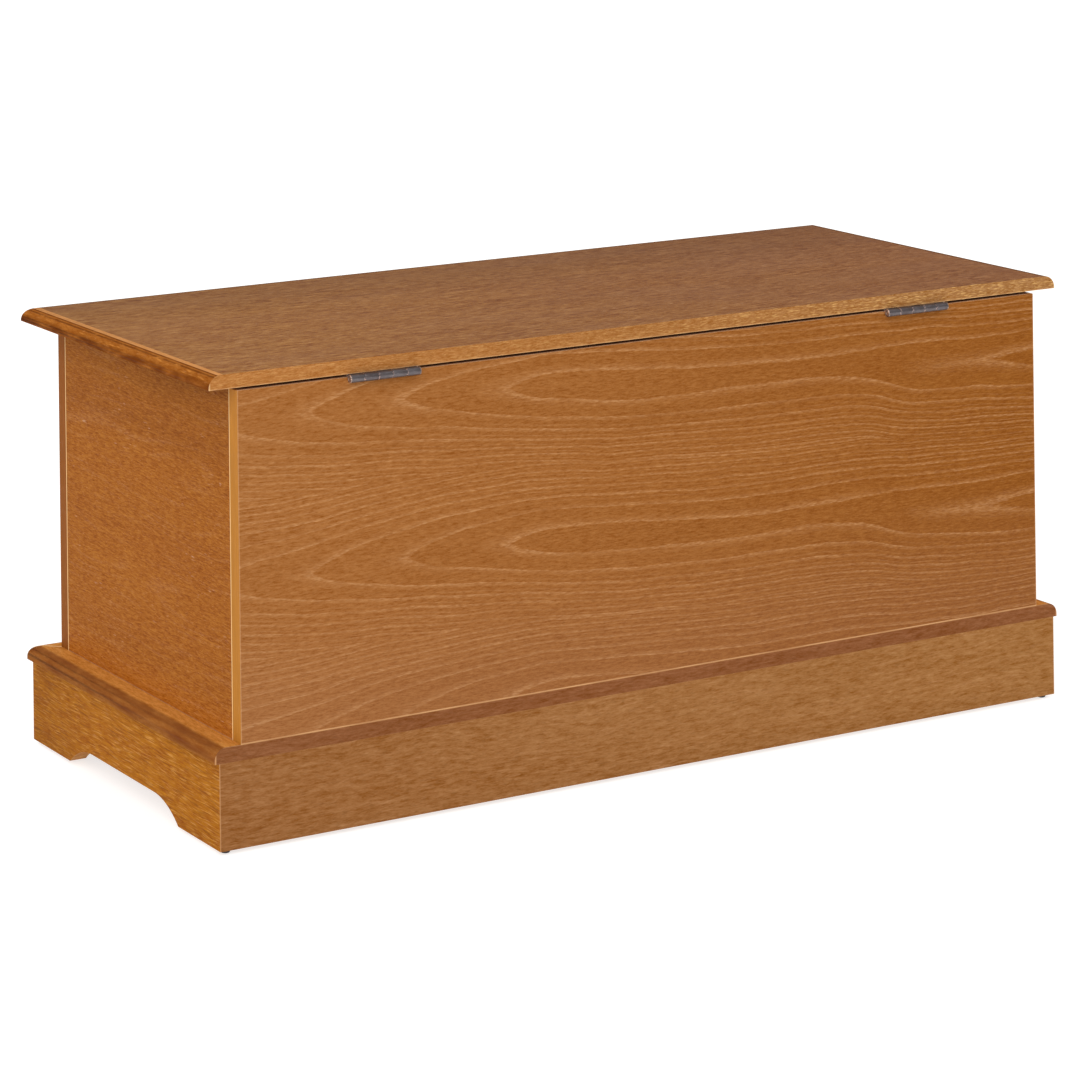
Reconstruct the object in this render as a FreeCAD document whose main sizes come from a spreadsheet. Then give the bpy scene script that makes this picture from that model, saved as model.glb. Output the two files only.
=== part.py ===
import FreeCAD, Part
import math
import os
import Sketcher

# Blanket chest with a lift-up lid.  Millimetres.  X is the chest's width, the
# front faces -Y, the hinged back faces +Y, and Z is up from the floor.
# The origin is under the middle of the whole chest.

doc = FreeCAD.newDocument("chest")
sheet = doc.addObject("Spreadsheet::Sheet", "Dims")

# Endings: _w width, _t thickness, _d depth of a large part or diameter of a
# round one, _hgt height, _len length, _in a distance in from an edge.
DIMS = [
    # lid
    ("lid_w", 1016.0), ("lid_d", 457.0), ("lid_t", 14.0), ("lid_gap", 3.0),
    ("lid_mould_w", 15.5), ("lid_round", 13.0), ("quirk_w", 0.7), ("quirk_in1", 6.4),
    ("quirk_in2", 9.4), ("band_t", 1.0),
    # case
    ("overhang", 29.5), ("case_hgt", 338.5), ("panel_t", 18.0), ("side_t", 15.0),
    ("bottom_t", 12.0), ("bottom_up", 10.0), ("groove_deep", 5.0), ("fit_gap", 0.2),
    ("dowel_d", 8.0), ("dowel_len", 35.0), ("dowel_in_panel", 12.0), ("dowel_low", 40.0),
    ("dowel_pitch", 85.0), ("dowel_gap", 0.02), ("dowel_end_gap", 0.3),
    ("dowel_hole_extra", 0.4), ("dowel_chamfer", 1.0),
    # base frame and plinth
    ("base_over", 27.5), ("base_t", 15.0), ("base_round", 12.0), ("base_in", 40.0),
    ("rail_w", 44.0),
    ("plinth_over", 23.0), ("plinth_hgt", 84.0), ("plinth_t", 18.0), ("foot_len", 94.5),
    ("apron_up", 20.0), ("arch_run", 56.0), ("block_leg", 34.0), ("block_hgt", 60.0),
    ("glide_d", 9.0), ("glide_hgt", 4.0), ("glide_in", 10.0), ("glide_round", 1.2),
    ("nail_d", 2.0), ("nail_len", 14.0), ("nail_gap", 0.03), ("nail_hole_extra", 0.3),
    # hinges
    ("hinge_len", 78.5), ("hinge_x", 320.5), ("knuckle_d", 8.0), ("knuckle_n", 5.0),
    ("knuckle_gap", 0.1), ("barrel_chamfer", 0.5), ("leaf_t", 1.45), ("leaf_in", 16.5),
    ("pin_d", 4.0), ("pin_run", 0.05), ("pin_fit", 0.01), ("pin_end_gap", 0.3),
    ("pin_chamfer", 0.4), ("hinge_out", 0.2), ("leaf_screw_pitch", 27.0),
    ("leaf_screw_in", 8.6), ("leaf_relief", 0.35), ("leaf_sink_rim", 0.05),
    # screws; head_sink and long_sink set the heads below the surface
    ("screw_d", 3.0), ("screw_head_d", 5.2), ("screw_len", 12.0), ("pilot_gap", 0.03),
    ("pilot_extra", 0.3), ("head_sink", 0.12),
    ("long_d", 4.0), ("long_head_d", 7.6), ("long_len", 38.0), ("long_pilot_extra", 0.5),
    ("long_sink", 0.05), ("long_head_gap", 0.23), ("head_rim", 0.15), ("point_r", 0.2),
    # lid stays
    ("stay_reach", 150.0), ("stay_drop", 12.0), ("stay_fixed_deg", 40.0), ("open_deg", 95.0),
    ("stay_t", 2.0), ("stay_w", 14.0), ("stay_off", 4.5), ("stay_past_slot", 6.0),
    ("slot_w", 6.2), ("slot_shut_slack", 1.0), ("slot_open_slack", 0.15),
    ("rivet_d", 5.0), ("rivet_run", 0.06), ("rivet_fit", 0.01), ("rivet_head_t", 1.2),
    ("rivet_arm_slack", 0.15), ("rivet_tab_slack", 0.05),
    ("tab_w", 18.0), ("tab_gap", 0.3), ("tab_corner", 5.0), ("tab_short", 1.5),
    ("flange_w", 16.0), ("flange_len", 40.0), ("flange_screw_shift", 1.0),
    ("flange_screw_off", 12.0), ("flange_sink", 1.5),
    ("stud_plate_t", 1.5), ("plate_w", 22.0), ("plate_len", 44.0), ("plate_corner", 4.0),
    ("plate_screw_off", 15.0), ("plate_sink_rim", 0.08),
    ("stud_d", 6.0), ("stud_head_d", 12.0), ("stud_head_t", 1.6), ("stud_slack", 0.5),
    # bumpers
    ("bumper_d", 10.0), ("bumper_t", 2.9), ("bumper_in", 30.0), ("bumper_round", 1.0),
]


class Size:
    """A size: its number, and the sheet formula that gives it."""

    def __init__(self, number, formula):
        self.number = float(number)
        self.formula = formula

    def __add__(self, other):
        other = as_size(other)
        return Size(self.number + other.number, "(%s + %s)" % (self.formula, other.formula))

    def __radd__(self, other):
        return as_size(other) + self

    def __sub__(self, other):
        other = as_size(other)
        return Size(self.number - other.number, "(%s - %s)" % (self.formula, other.formula))

    def __mul__(self, other):
        other = as_size(other)
        return Size(self.number * other.number, "(%s * %s)" % (self.formula, other.formula))

    def __rmul__(self, other):
        return as_size(other) * self

    def __truediv__(self, other):
        other = as_size(other)
        return Size(self.number / other.number, "(%s / %s)" % (self.formula, other.formula))

    def __neg__(self):
        return Size(-self.number, "(0 - %s)" % self.formula)


def as_size(value):
    return value if isinstance(value, Size) else Size(value, repr(float(value)))


def cosine(degrees):
    return Size(math.cos(math.radians(degrees.number)), "cos(%s * 1 deg)" % degrees.formula)


def sine(degrees):
    return Size(math.sin(math.radians(degrees.number)), "sin(%s * 1 deg)" % degrees.formula)


def arcsine(ratio):
    """The angle in degrees."""
    return Size(math.degrees(math.asin(ratio.number)), "(asin(%s) / 1 deg)" % ratio.formula)


def square_root(value):
    return Size(math.sqrt(value.number), "sqrt(%s)" % value.formula)


class Dimensions:
    """Holds each sheet dimension as a Size named by its alias."""


dim = Dimensions()
for row, (alias, value) in enumerate(DIMS, start=1):
    sheet.set("A%d" % row, alias)
    sheet.set("B%d" % row, repr(value))
    sheet.setAlias("B%d" % row, alias)
    setattr(dim, alias, Size(value, "Dims.%s" % alias))
doc.recompute()

# ---------------------------------------------------------------- positions
SIDES = (("right", 1), ("left", -1))                # name and sign of X
FRAME_SCREW_XS = (-400.0, -135.0, 135.0, 400.0)     # along front and back, from the middle
FRAME_SCREW_YS = (90.0, 300.0)                      # along a side panel, from its front end
DOWEL_COUNT = 4                                     # in each corner
OVERCUT = 1.0                                       # how far cutting outlines run past a part
QUIRK_OVERCUT = 0.1                                 # the same above a quirk

axis_out = dim.hinge_out + dim.knuckle_d / 2        # pin axis behind the back
barrel_out = dim.hinge_out + dim.knuckle_d          # rearmost point of a barrel
y_back = (dim.lid_d - barrel_out) / 2               # plane of the chest's back
y_front_lid = y_back - dim.lid_d
z_plinth = dim.glide_hgt
z_frame = z_plinth + dim.plinth_hgt
z_case = z_frame + dim.base_t
z_case_top = z_case + dim.case_hgt
z_lid = z_case_top + dim.lid_gap
z_axis = z_lid - dim.knuckle_d / 2
y_axis = y_back + axis_out
case_w = dim.lid_w - 2 * dim.overhang
case_d = dim.lid_d - dim.overhang
y_front_case = y_back - case_d
side_len = case_d - 2 * dim.panel_t
inside_w = case_w - 2 * dim.side_t
side_middle_x = case_w / 2 - dim.side_t / 2         # middle plane of a side panel

# Hole radii and depths for the two kinds of screw
screw_hole_r = dim.screw_d / 2 + dim.pilot_gap
hinge_pilot_deep = dim.screw_len - dim.leaf_t + dim.pilot_extra
stud_pilot_deep = dim.screw_len - dim.stud_plate_t + dim.pilot_extra
long_hole_r = dim.long_d / 2 + dim.pilot_gap
long_pilot_deep = dim.long_len - dim.base_t + dim.long_pilot_extra

# Hinge screws (x, y), measured from the chest's middle and the pin axis
leaf_y = -(axis_out + dim.leaf_screw_in)
leaf_spots = [(sign * dim.hinge_x + k * dim.leaf_screw_pitch, leaf_y)
              for _, sign in SIDES for k in (-1, 0, 1)]

# Lid-stay pivots, measured from the pin axis.  Rivet and stud are equally far
# from it, so an arm always turns half as fast as the lid.
pivot_drop = dim.stay_drop - dim.knuckle_d / 2
rivet_y = -square_root(dim.stay_reach * dim.stay_reach - pivot_drop * pivot_drop)
rivet_z = -pivot_drop
rivet_deg = 180 + arcsine(pivot_drop / dim.stay_reach)
stud_deg = rivet_deg + dim.stay_fixed_deg
stud_y = dim.stay_reach * cosine(stud_deg)
stud_z = dim.stay_reach * sine(stud_deg)
chord_shut = 2 * dim.stay_reach * sine(dim.stay_fixed_deg / 2)
chord_open = 2 * dim.stay_reach * sine((dim.stay_fixed_deg + dim.open_deg) / 2)
arm_x = inside_w / 2 - dim.stay_off                 # middle plane of an arm
tab_x = arm_x - dim.stay_t - dim.tab_gap            # middle plane of a bracket's tab
flange_in = tab_x + dim.stay_t / 2 - dim.flange_w   # inner edge of its flange
bracket_screw_x = flange_in + dim.flange_w / 2 - dim.flange_screw_shift
bracket_spots = [(sign * bracket_screw_x, rivet_y + k * dim.flange_screw_off)
                 for _, sign in SIDES for k in (-1, 1)]
plate_spots = [(stud_y, stud_z + k * dim.plate_screw_off) for k in (-1, 1)]     # y, z

# ---------------------------------------------------------------- objects
FLAT = FreeCAD.Rotation()
UPSIDE = FreeCAD.Rotation(FreeCAD.Vector(1, 0, 0), 180)
pieces = {}                                         # every object to be exported


def place(thing, x, y, z, rotation=FLAT):
    x, y, z = as_size(x), as_size(y), as_size(z)
    thing.Placement = FreeCAD.Placement(FreeCAD.Vector(x.number, y.number, z.number), rotation)
    thing.setExpression("Placement.Base.x", x.formula)
    thing.setExpression("Placement.Base.y", y.formula)
    thing.setExpression("Placement.Base.z", z.formula)


def stock_body(name):
    """A body at the origin that is only copied from, not exported."""
    body = doc.addObject("PartDesign::Body", name)
    body.Label = name
    return body


def new_body(name, x, y, z, rotation=FLAT):
    body = stock_body(name)
    place(body, x, y, z, rotation)
    pieces[name] = body
    return body


def group(name, body, spots, x, y, z):
    """Copies of one body at spots (x, y, z, rotation), each its own solid."""
    doc.recompute()
    shapes = []
    for spot_x, spot_y, spot_z, rotation in spots:
        shape = body.Shape.copy()
        middle = [as_size(value).number for value in (spot_x, spot_y, spot_z)]
        shape.Placement = FreeCAD.Placement(FreeCAD.Vector(*middle), rotation)
        shapes.append(shape)
    copies = doc.addObject("Part::Feature", name)
    copies.Label = name
    copies.Shape = Part.makeCompound(shapes)
    place(copies, x, y, z)
    pieces[name] = copies


def add_part(body, kind, suffix):
    """A sketch or feature, named after its body."""
    return body.newObject(kind, "%s_%s" % (body.Label, suffix))


def bind(thing, prop, value):
    value = as_size(value)
    setattr(thing, prop, value.number)
    thing.setExpression(prop, value.formula)


# ---------------------------------------------------------------- sketches
# XY sketches look up, YZ sketches look to +X and XZ sketches look to -Y; an
# offset moves a sketch the way it looks.
def new_sketch(body, suffix, plane, offset=None):
    sketch = add_part(body, "Sketcher::SketchObject", suffix)
    role = plane + "_Plane"
    support = [f for f in body.Origin.OriginFeatures if f.Role == role][0]
    sketch.AttachmentSupport = [(support, "")]
    sketch.MapMode = "FlatFace"
    if offset is not None:
        offset = as_size(offset)
        sketch.AttachmentOffset = FreeCAD.Placement(FreeCAD.Vector(0, 0, offset.number), FLAT)
        sketch.setExpression("AttachmentOffset.Base.z", offset.formula)
    return sketch


def constrain(sketch, value, kind, *where):
    index = sketch.addConstraint(Sketcher.Constraint(kind, *where, value.number))
    sketch.setExpression("Constraints[%d]" % index, value.formula)


def pin_point(sketch, geo, pos, x, y):
    """Fix a sketch point at (x, y) from the sketch origin."""
    x, y = as_size(x), as_size(y)
    on_x_zero, on_y_zero = abs(x.number) < 1e-9, abs(y.number) < 1e-9
    if on_x_zero and on_y_zero:
        sketch.addConstraint(Sketcher.Constraint("Coincident", geo, pos, -1, 1))
        return
    if on_x_zero:
        sketch.addConstraint(Sketcher.Constraint("PointOnObject", geo, pos, -2))
    else:
        constrain(sketch, x, "DistanceX", -1, 1, geo, pos)
    if on_y_zero:
        sketch.addConstraint(Sketcher.Constraint("PointOnObject", geo, pos, -1))
    else:
        constrain(sketch, y, "DistanceY", -1, 1, geo, pos)


def add_line(sketch, start, end):
    ends = [FreeCAD.Vector(as_size(x).number, as_size(y).number, 0) for x, y in (start, end)]
    return sketch.addGeometry(Part.LineSegment(*ends), False)


def make_circle(x, y, radius):
    return Part.Circle(FreeCAD.Vector(as_size(x).number, as_size(y).number, 0),
                       FreeCAD.Vector(0, 0, 1), radius.number)


def add_arc(sketch, x, y, radius, start, end):
    arc = Part.ArcOfCircle(make_circle(x, y, radius), start, end)
    return sketch.addGeometry(arc, False)


def add_circle(sketch, x, y, radius):
    geo = sketch.addGeometry(make_circle(x, y, radius), False)
    pin_point(sketch, geo, 3, x, y)
    constrain(sketch, radius, "Radius", geo)


def join_loop(sketch, kind, loop):
    """Tie the end of each line or arc to the start of the next."""
    for geo, following in zip(loop, loop[1:] + loop[:1]):
        sketch.addConstraint(Sketcher.Constraint(kind, geo, 2, following, 1))


def add_outline(sketch, points):
    loop = [add_line(sketch, a, b) for a, b in zip(points, points[1:] + points[:1])]
    join_loop(sketch, "Coincident", loop)
    for geo, (x, y) in zip(loop, points):
        pin_point(sketch, geo, 1, x, y)


def add_slot(sketch, start, end, radius):
    """A round-ended shape along the sketch's first axis."""
    quarter = math.pi / 2
    near_arc = add_arc(sketch, start, 0, radius, quarter, 3 * quarter)
    low = add_line(sketch, (start, -radius), (end, -radius))
    far_arc = add_arc(sketch, end, 0, radius, -quarter, quarter)
    high = add_line(sketch, (end, radius), (start, radius))
    join_loop(sketch, "Tangent", [near_arc, low, far_arc, high])
    pin_point(sketch, near_arc, 3, start, 0)
    pin_point(sketch, far_arc, 3, end, 0)
    constrain(sketch, radius, "Radius", near_arc)


def rect(x_low, y_low, x_high, y_high):
    return [(x_low, y_low), (x_high, y_low), (x_high, y_high), (x_low, y_high)]


def swapped(points):
    return [(b, a) for a, b in points]


# ---------------------------------------------------------------- features
def pad(body, suffix, sketch, length, flip=False):
    made = add_part(body, "PartDesign::Pad", suffix)
    made.Profile = sketch
    bind(made, "Length", length)
    made.Reversed = flip
    sketch.Visibility = False
    body.Tip = made
    doc.recompute()


def cut(body, suffix, sketch, depth=None):
    """Pocket both ways from its sketch: to a depth, or through everything."""
    before = body.Tip.Shape.Volume
    made = add_part(body, "PartDesign::Pocket", suffix)
    made.Profile = sketch
    made.Midplane = True
    if depth is None:
        made.Type = 1
    else:
        made.Type = 0
        bind(made, "Length", 2 * depth)
    sketch.Visibility = False
    body.Tip = made
    doc.recompute()
    if not made.Shape.Volume < before - 1e-4:
        raise RuntimeError("%s removed nothing" % made.Label)


def pad_outline(body, suffixes, plane, points, length, offset=None, flip=False):
    """Suffixes here and below name the sketch, then the feature."""
    sketch = new_sketch(body, suffixes[0], plane, offset)
    add_outline(sketch, points)
    pad(body, suffixes[1], sketch, length, flip)


def pad_circle(body, suffixes, plane, radius, length, offset=None, flip=False):
    sketch = new_sketch(body, suffixes[0], plane, offset)
    add_circle(sketch, 0, 0, radius)
    pad(body, suffixes[1], sketch, length, flip)


def cut_outlines(body, suffixes, plane, outlines, depth=None, offset=None):
    sketch = new_sketch(body, suffixes[0], plane, offset)
    for points in outlines:
        add_outline(sketch, points)
    cut(body, suffixes[1], sketch, depth)


def drill(body, suffixes, plane, spots, radius, depth=None, offset=None):
    sketch = new_sketch(body, suffixes[0], plane, offset)
    for x, y in spots:
        add_circle(sketch, x, y, radius)
    cut(body, suffixes[1], sketch, depth)


def dress_edges(body, kind, prop, suffix, amount, test):
    base = body.Tip
    names = ["Edge%d" % i for i, edge in enumerate(base.Shape.Edges, start=1) if test(edge)]
    if not names:
        raise RuntimeError("no edge found on %s" % base.Label)
    made = add_part(body, kind, suffix)
    made.Base = (base, names)
    bind(made, prop, amount)
    body.Tip = made
    doc.recompute()


def fillet(body, suffix, radius, test):
    dress_edges(body, "PartDesign::Fillet", "Radius", suffix, radius, test)


def chamfer(body, suffix, amount, test):
    dress_edges(body, "PartDesign::Chamfer", "Size", suffix, amount, test)


def agrees(got, want):
    """True where no value is asked for, or where it is met."""
    return want is None or abs(got - as_size(want).number) < 1e-3


def edge_at(x=None, y=None, z=None):
    """A test for an edge whose ends both lie at the given coordinates."""
    def test(edge):
        ends = [vertex.Point for vertex in edge.Vertexes]
        return len(ends) > 1 and all(
            agrees(p.x, x) and agrees(p.y, y) and agrees(p.z, z) for p in (ends[0], ends[-1]))
    return test


def round_edge(radius, z=None, x=None):
    """A test for a circular edge of one radius, centred at a height or station."""
    def test(edge):
        curve = edge.Curve
        return (isinstance(curve, Part.Circle) and agrees(curve.Radius, radius)
                and agrees(curve.Center.z, z) and agrees(curve.Center.x, x))
    return test


def box_body(name, x, y, z, size_x, size_y, size_z):
    body = new_body(name, x, y, z)
    pad_outline(body, ("outline", "board"), "XY", rect(0, 0, size_x, size_y), size_z)
    return body


# ---------------------------------------------------------------- mouldings
def quirk_outline(place_in, width, thick, radius, outer):
    """A V groove, its mouth on the rounded face above it."""
    middle = place_in if outer == "high" else width - place_in
    half = dim.quirk_w / 2
    past = place_in - (width - radius)              # how far it lies over the round
    face = thick - (radius - square_root(radius * radius - past * past))
    top = thick + QUIRK_OVERCUT
    return [(middle - half, top), (middle - half, face), (middle, face - dim.quirk_w),
            (middle + half, face), (middle + half, top)]


def mitre_outline(end, length, width, outer):
    """The waste beyond one mitred end, as (across, along) points."""
    if end == "low":
        outer_end, inner_end, beyond = 0, width, -OVERCUT
    else:
        outer_end, inner_end, beyond = length, length - width, length + OVERCUT
    inner_edge, outer_edge = (0, width) if outer == "high" else (width, 0)
    return [(inner_edge, inner_end), (inner_edge, beyond),
            (outer_edge, beyond), (outer_edge, outer_end)]


def moulding(name, x, y, z, length, section, along, outer, mitres, quirks=()):
    """A straight moulding; its outer upper edge is rounded, its ends mitred.
    section: width, thickness and radius of the round.
    along: 'y' runs front to back, 'x' runs side to side.
    outer: 'high' or 'low', the side of the rounded edge.  mitres: 'low', 'high'."""
    width, thick, radius = section
    plane, across = ("XZ", "x") if along == "y" else ("YZ", "y")
    body = new_body(name, x, y, z)
    pad_outline(body, ("section", "strip"), plane, rect(0, 0, width, thick), length,
                flip=along == "y")
    edge = width if outer == "high" else 0
    fillet(body, "round", radius, edge_at(z=thick, **{across: edge}))
    if quirks:
        cut_outlines(body, ("quirks", "quirk_cut"), plane,
                     [quirk_outline(place_in, width, thick, radius, outer)
                      for place_in in quirks])
    outlines = [mitre_outline(end, length, width, outer) for end in mitres]
    if along == "x":
        outlines = [swapped(points) for points in outlines]
    cut_outlines(body, ("mitres", "mitre_cut"), "XY", outlines)
    return body


def rear_band(name, width, thick, radius, z):
    """A thin lipping that covers a rear edge and follows its end profile."""
    body = new_body(name, -width / 2, y_back - dim.band_t, z)
    pad_outline(body, ("outline", "strip"), "XZ", rect(0, 0, width, thick), dim.band_t,
                flip=True)
    left, right = edge_at(x=0, z=thick), edge_at(x=width, z=thick)
    fillet(body, "round", radius, lambda edge: left(edge) or right(edge))


# ---------------------------------------------------------------- lid
def lid_panel():
    x = -(dim.lid_w - 2 * dim.lid_mould_w) / 2
    y = y_front_lid + dim.lid_mould_w
    body = box_body("lid_panel", x, y, z_lid, dim.lid_w - 2 * dim.lid_mould_w,
                    dim.lid_d - dim.lid_mould_w - dim.band_t, dim.lid_t)
    drill(body, ("pilots", "pilot_holes"), "XY",
          [(spot_x - x, y_axis + spot_y - y) for spot_x, spot_y in leaf_spots + bracket_spots],
          screw_hole_r, hinge_pilot_deep)


lid_panel()
lid_section = (dim.lid_mould_w, dim.lid_t, dim.lid_round)
quirk_places = (dim.quirk_in1, dim.quirk_in2)
moulding("lid_right_moulding", dim.lid_w / 2 - dim.lid_mould_w, y_front_lid, z_lid,
         dim.lid_d - dim.band_t, lid_section, "y", "high", ["low"], quirk_places)
moulding("lid_left_moulding", -dim.lid_w / 2, y_front_lid, z_lid,
         dim.lid_d - dim.band_t, lid_section, "y", "low", ["low"], quirk_places)
moulding("lid_front_moulding", -dim.lid_w / 2, y_front_lid, z_lid,
         dim.lid_w, lid_section, "x", "low", ["low", "high"], quirk_places)
rear_band("lid_rear_edge_band", dim.lid_w, dim.lid_t, dim.lid_round, z_lid)

# ---------------------------------------------------------------- case
groove_top = dim.bottom_up + dim.bottom_t + dim.fit_gap
groove_cut_deep = dim.groove_deep + dim.fit_gap / 2
dowel_zs = [dim.dowel_low + k * dim.dowel_pitch for k in range(DOWEL_COUNT)]
dowel_hole_r = dim.dowel_d / 2 + dim.dowel_gap


def wide_panel(name, y, inner_y):
    """Front or back panel; inner_y is the local Y of its inside face."""
    body = box_body(name, -case_w / 2, y, z_case, case_w, dim.panel_t, dim.case_hgt)
    # groove for the bottom panel
    groove_start = dim.side_t - dim.groove_deep
    groove = rect(groove_start, dim.bottom_up, case_w - dim.side_t + dim.groove_deep, groove_top)
    cut_outlines(body, ("groove", "groove_cut"), "XZ", [groove], groove_cut_deep, -inner_y)
    # blind dowel holes into the inside face
    drill(body, ("dowel_holes", "dowel_cut"), "XZ",
          [(x, z) for z in dowel_zs for x in (dim.side_t / 2, case_w - dim.side_t / 2)],
          dowel_hole_r, dim.dowel_in_panel, -inner_y)
    # pilot holes up from the lower edge
    drill(body, ("base_pilots", "base_pilot_cut"), "XY",
          [(case_w / 2 + x, dim.panel_t / 2) for x in FRAME_SCREW_XS],
          long_hole_r, long_pilot_deep)
    return body


def side_panel(name, sign):
    x = case_w / 2 - dim.side_t if sign > 0 else -case_w / 2
    inner_x = 0 if sign > 0 else dim.side_t
    panel_y = y_front_case + dim.panel_t
    body = box_body(name, x, panel_y, z_case, dim.side_t, side_len, dim.case_hgt)
    cut_outlines(body, ("groove", "groove_cut"), "YZ",
                 [rect(-OVERCUT, dim.bottom_up, side_len + OVERCUT, groove_top)],
                 groove_cut_deep, inner_x)
    for tag, y in (("front", 0), ("rear", side_len)):
        drill(body, ("dowels_" + tag, "dowel_cut_" + tag), "XZ",
              [(dim.side_t / 2, z) for z in dowel_zs], dowel_hole_r,
              dim.dowel_len - dim.dowel_in_panel + dim.dowel_hole_extra, -y)
    drill(body, ("base_pilots", "base_pilot_cut"), "XY",
          [(dim.side_t / 2, y) for y in FRAME_SCREW_YS], long_hole_r, long_pilot_deep)
    drill(body, ("stud_pilots", "stud_pilot_cut"), "YZ",
          [(y_axis + y - panel_y, z_axis + z - z_case) for y, z in plate_spots],
          screw_hole_r, stud_pilot_deep, inner_x)


def case_dowels():
    """Dowels along Y, joining front and back panels to the side ends."""
    dowel = stock_body("dowel")
    pad_circle(dowel, ("section", "rod"), "XZ", dim.dowel_d / 2,
               dim.dowel_len - 2 * dim.dowel_end_gap, flip=True)
    chamfer(dowel, "ends", dim.dowel_chamfer, round_edge(dim.dowel_d / 2))
    front_y = dim.panel_t - dim.dowel_in_panel + dim.dowel_end_gap
    rear_y = case_d - dim.panel_t + dim.dowel_in_panel - dim.dowel_len + dim.dowel_end_gap
    spots = [(sign * side_middle_x, y, z, FLAT)
             for _, sign in SIDES for z in dowel_zs for y in (front_y, rear_y)]
    group("case_dowels", dowel, spots, 0, y_front_case, z_case)


wide_panel("case_front_panel", y_front_case, dim.panel_t)
back_panel = wide_panel("case_back_panel", y_back - dim.panel_t, 0)
drill(back_panel, ("hinge_pilots", "hinge_pilot_cut"), "XY",
      [(case_w / 2 + x, axis_out + dim.panel_t + y) for x, y in leaf_spots],
      screw_hole_r, hinge_pilot_deep, dim.case_hgt)
for side, sign in SIDES:
    side_panel("case_%s_panel" % side, sign)
box_body("case_bottom_panel", -(inside_w / 2 + dim.groove_deep),
         y_front_case + dim.panel_t - dim.groove_deep,
         z_case + dim.bottom_up + dim.fit_gap / 2, inside_w + 2 * dim.groove_deep,
         side_len + 2 * dim.groove_deep, dim.bottom_t)
case_dowels()

# ---------------------------------------------------------------- base frame
base_w = case_w + 2 * dim.base_over
base_d = case_d + dim.base_over
y_front_base = y_back - base_d
frame_w = dim.base_over + dim.base_in
base_section = (frame_w, dim.base_t, dim.base_round)


def screw_row(body, spots):
    """Clearance holes through a rail, countersunk from the underside."""
    drill(body, ("screw_holes", "screw_cut"), "XY", spots, long_hole_r)
    chamfer(body, "countersinks", dim.long_head_d / 2 + dim.long_head_gap - long_hole_r,
            round_edge(long_hole_r, z=0))


def base_side_moulding(side, sign):
    x = case_w / 2 - dim.base_in if sign > 0 else -base_w / 2
    body = moulding("base_%s_moulding" % side, x, y_front_base, z_frame, base_d - dim.band_t,
                    base_section, "y", "high" if sign > 0 else "low", ["low"])
    screw_row(body, [(sign * side_middle_x - x, y_front_case + dim.panel_t + y - y_front_base)
                     for y in FRAME_SCREW_YS])


def base_front_moulding():
    body = moulding("base_front_moulding", -base_w / 2, y_front_base, z_frame, base_w,
                    base_section, "x", "low", ["low", "high"])
    screw_row(body, [(base_w / 2 + x, dim.base_over + dim.panel_t / 2)
                     for x in FRAME_SCREW_XS])


def base_back_rail():
    length = case_w - 2 * dim.base_in
    body = box_body("base_back_rail", -length / 2, y_back - dim.band_t - dim.rail_w, z_frame,
                    length, dim.rail_w, dim.base_t)
    screw_row(body, [(length / 2 + x, dim.rail_w + dim.band_t - dim.panel_t / 2)
                     for x in FRAME_SCREW_XS])


for side, sign in SIDES:
    base_side_moulding(side, sign)
base_front_moulding()
base_back_rail()
rear_band("base_rear_edge_band", base_w, dim.base_t, dim.base_round, z_frame)

# ---------------------------------------------------------------- plinth
plinth_w = case_w + 2 * dim.plinth_over
plinth_d = case_d + dim.plinth_over
y_front_plinth = y_back - plinth_d
glide_in = dim.glide_in


def add_arch(sketch, run):
    """Straight apron between two feet, with a round sweep down to each."""
    foot, sweep_run, rise = dim.foot_len, dim.arch_run, dim.apron_up
    radius = (sweep_run * sweep_run + rise * rise) / (2 * rise)
    points = [(foot, 0), (foot, -OVERCUT), (run - foot, -OVERCUT), (run - foot, 0),
              (run - foot - sweep_run, rise), (foot + sweep_run, rise)]
    turn = math.atan2((radius - rise).number, -sweep_run.number)
    near_side = add_line(sketch, points[0], points[1])
    bottom = add_line(sketch, points[1], points[2])
    far_side = add_line(sketch, points[2], points[3])
    far_arc = add_arc(sketch, points[4][0], rise - radius, radius, math.pi - turn, math.pi / 2)
    apron = add_line(sketch, points[4], points[5])
    near_arc = add_arc(sketch, points[5][0], rise - radius, radius, math.pi / 2, turn)
    join_loop(sketch, "Coincident", [near_side, bottom, far_side, far_arc, apron, near_arc])
    starts_and_ends = ((near_side, 1), (bottom, 1), (bottom, 2), (far_side, 2),
                       (apron, 1), (apron, 2))
    for (geo, pos), (x, y) in zip(starts_and_ends, points):
        pin_point(sketch, geo, pos, x, y)
    # each arc's centre lies straight under its meeting with the apron
    sketch.addConstraint(Sketcher.Constraint("Vertical", far_arc, 3, far_arc, 2))
    sketch.addConstraint(Sketcher.Constraint("Vertical", near_arc, 3, near_arc, 1))


def plinth_board(name, x, y, run, along, outer, arched=True):
    """Plinth board, mitred at both ends on its inside."""
    thick = dim.plinth_t
    outer_edge, inner_edge = (thick, 0) if outer == "high" else (0, thick)
    # each glide's nail stands on a mitre, so both boards there are drilled
    nail_across = thick - glide_in if outer == "high" else glide_in
    outline = [(outer_edge, 0), (outer_edge, run), (inner_edge, run - thick),
               (inner_edge, thick)]
    nails = [(nail_across, glide_in), (nail_across, run - glide_in)]
    if along == "x":
        outline, nails = swapped(outline), swapped(nails)
    body = new_body(name, x, y, z_plinth)
    pad_outline(body, ("outline", "board"), "XY", outline, dim.plinth_hgt)
    if arched:
        sketch = new_sketch(body, "arch", "YZ" if along == "y" else "XZ")
        add_arch(sketch, run)
        cut(body, "arch_cut", sketch)
    drill(body, ("nail_holes", "nail_cut"), "XY", nails, dim.nail_d / 2 + dim.nail_gap,
          dim.nail_len + dim.nail_hole_extra)


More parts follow.
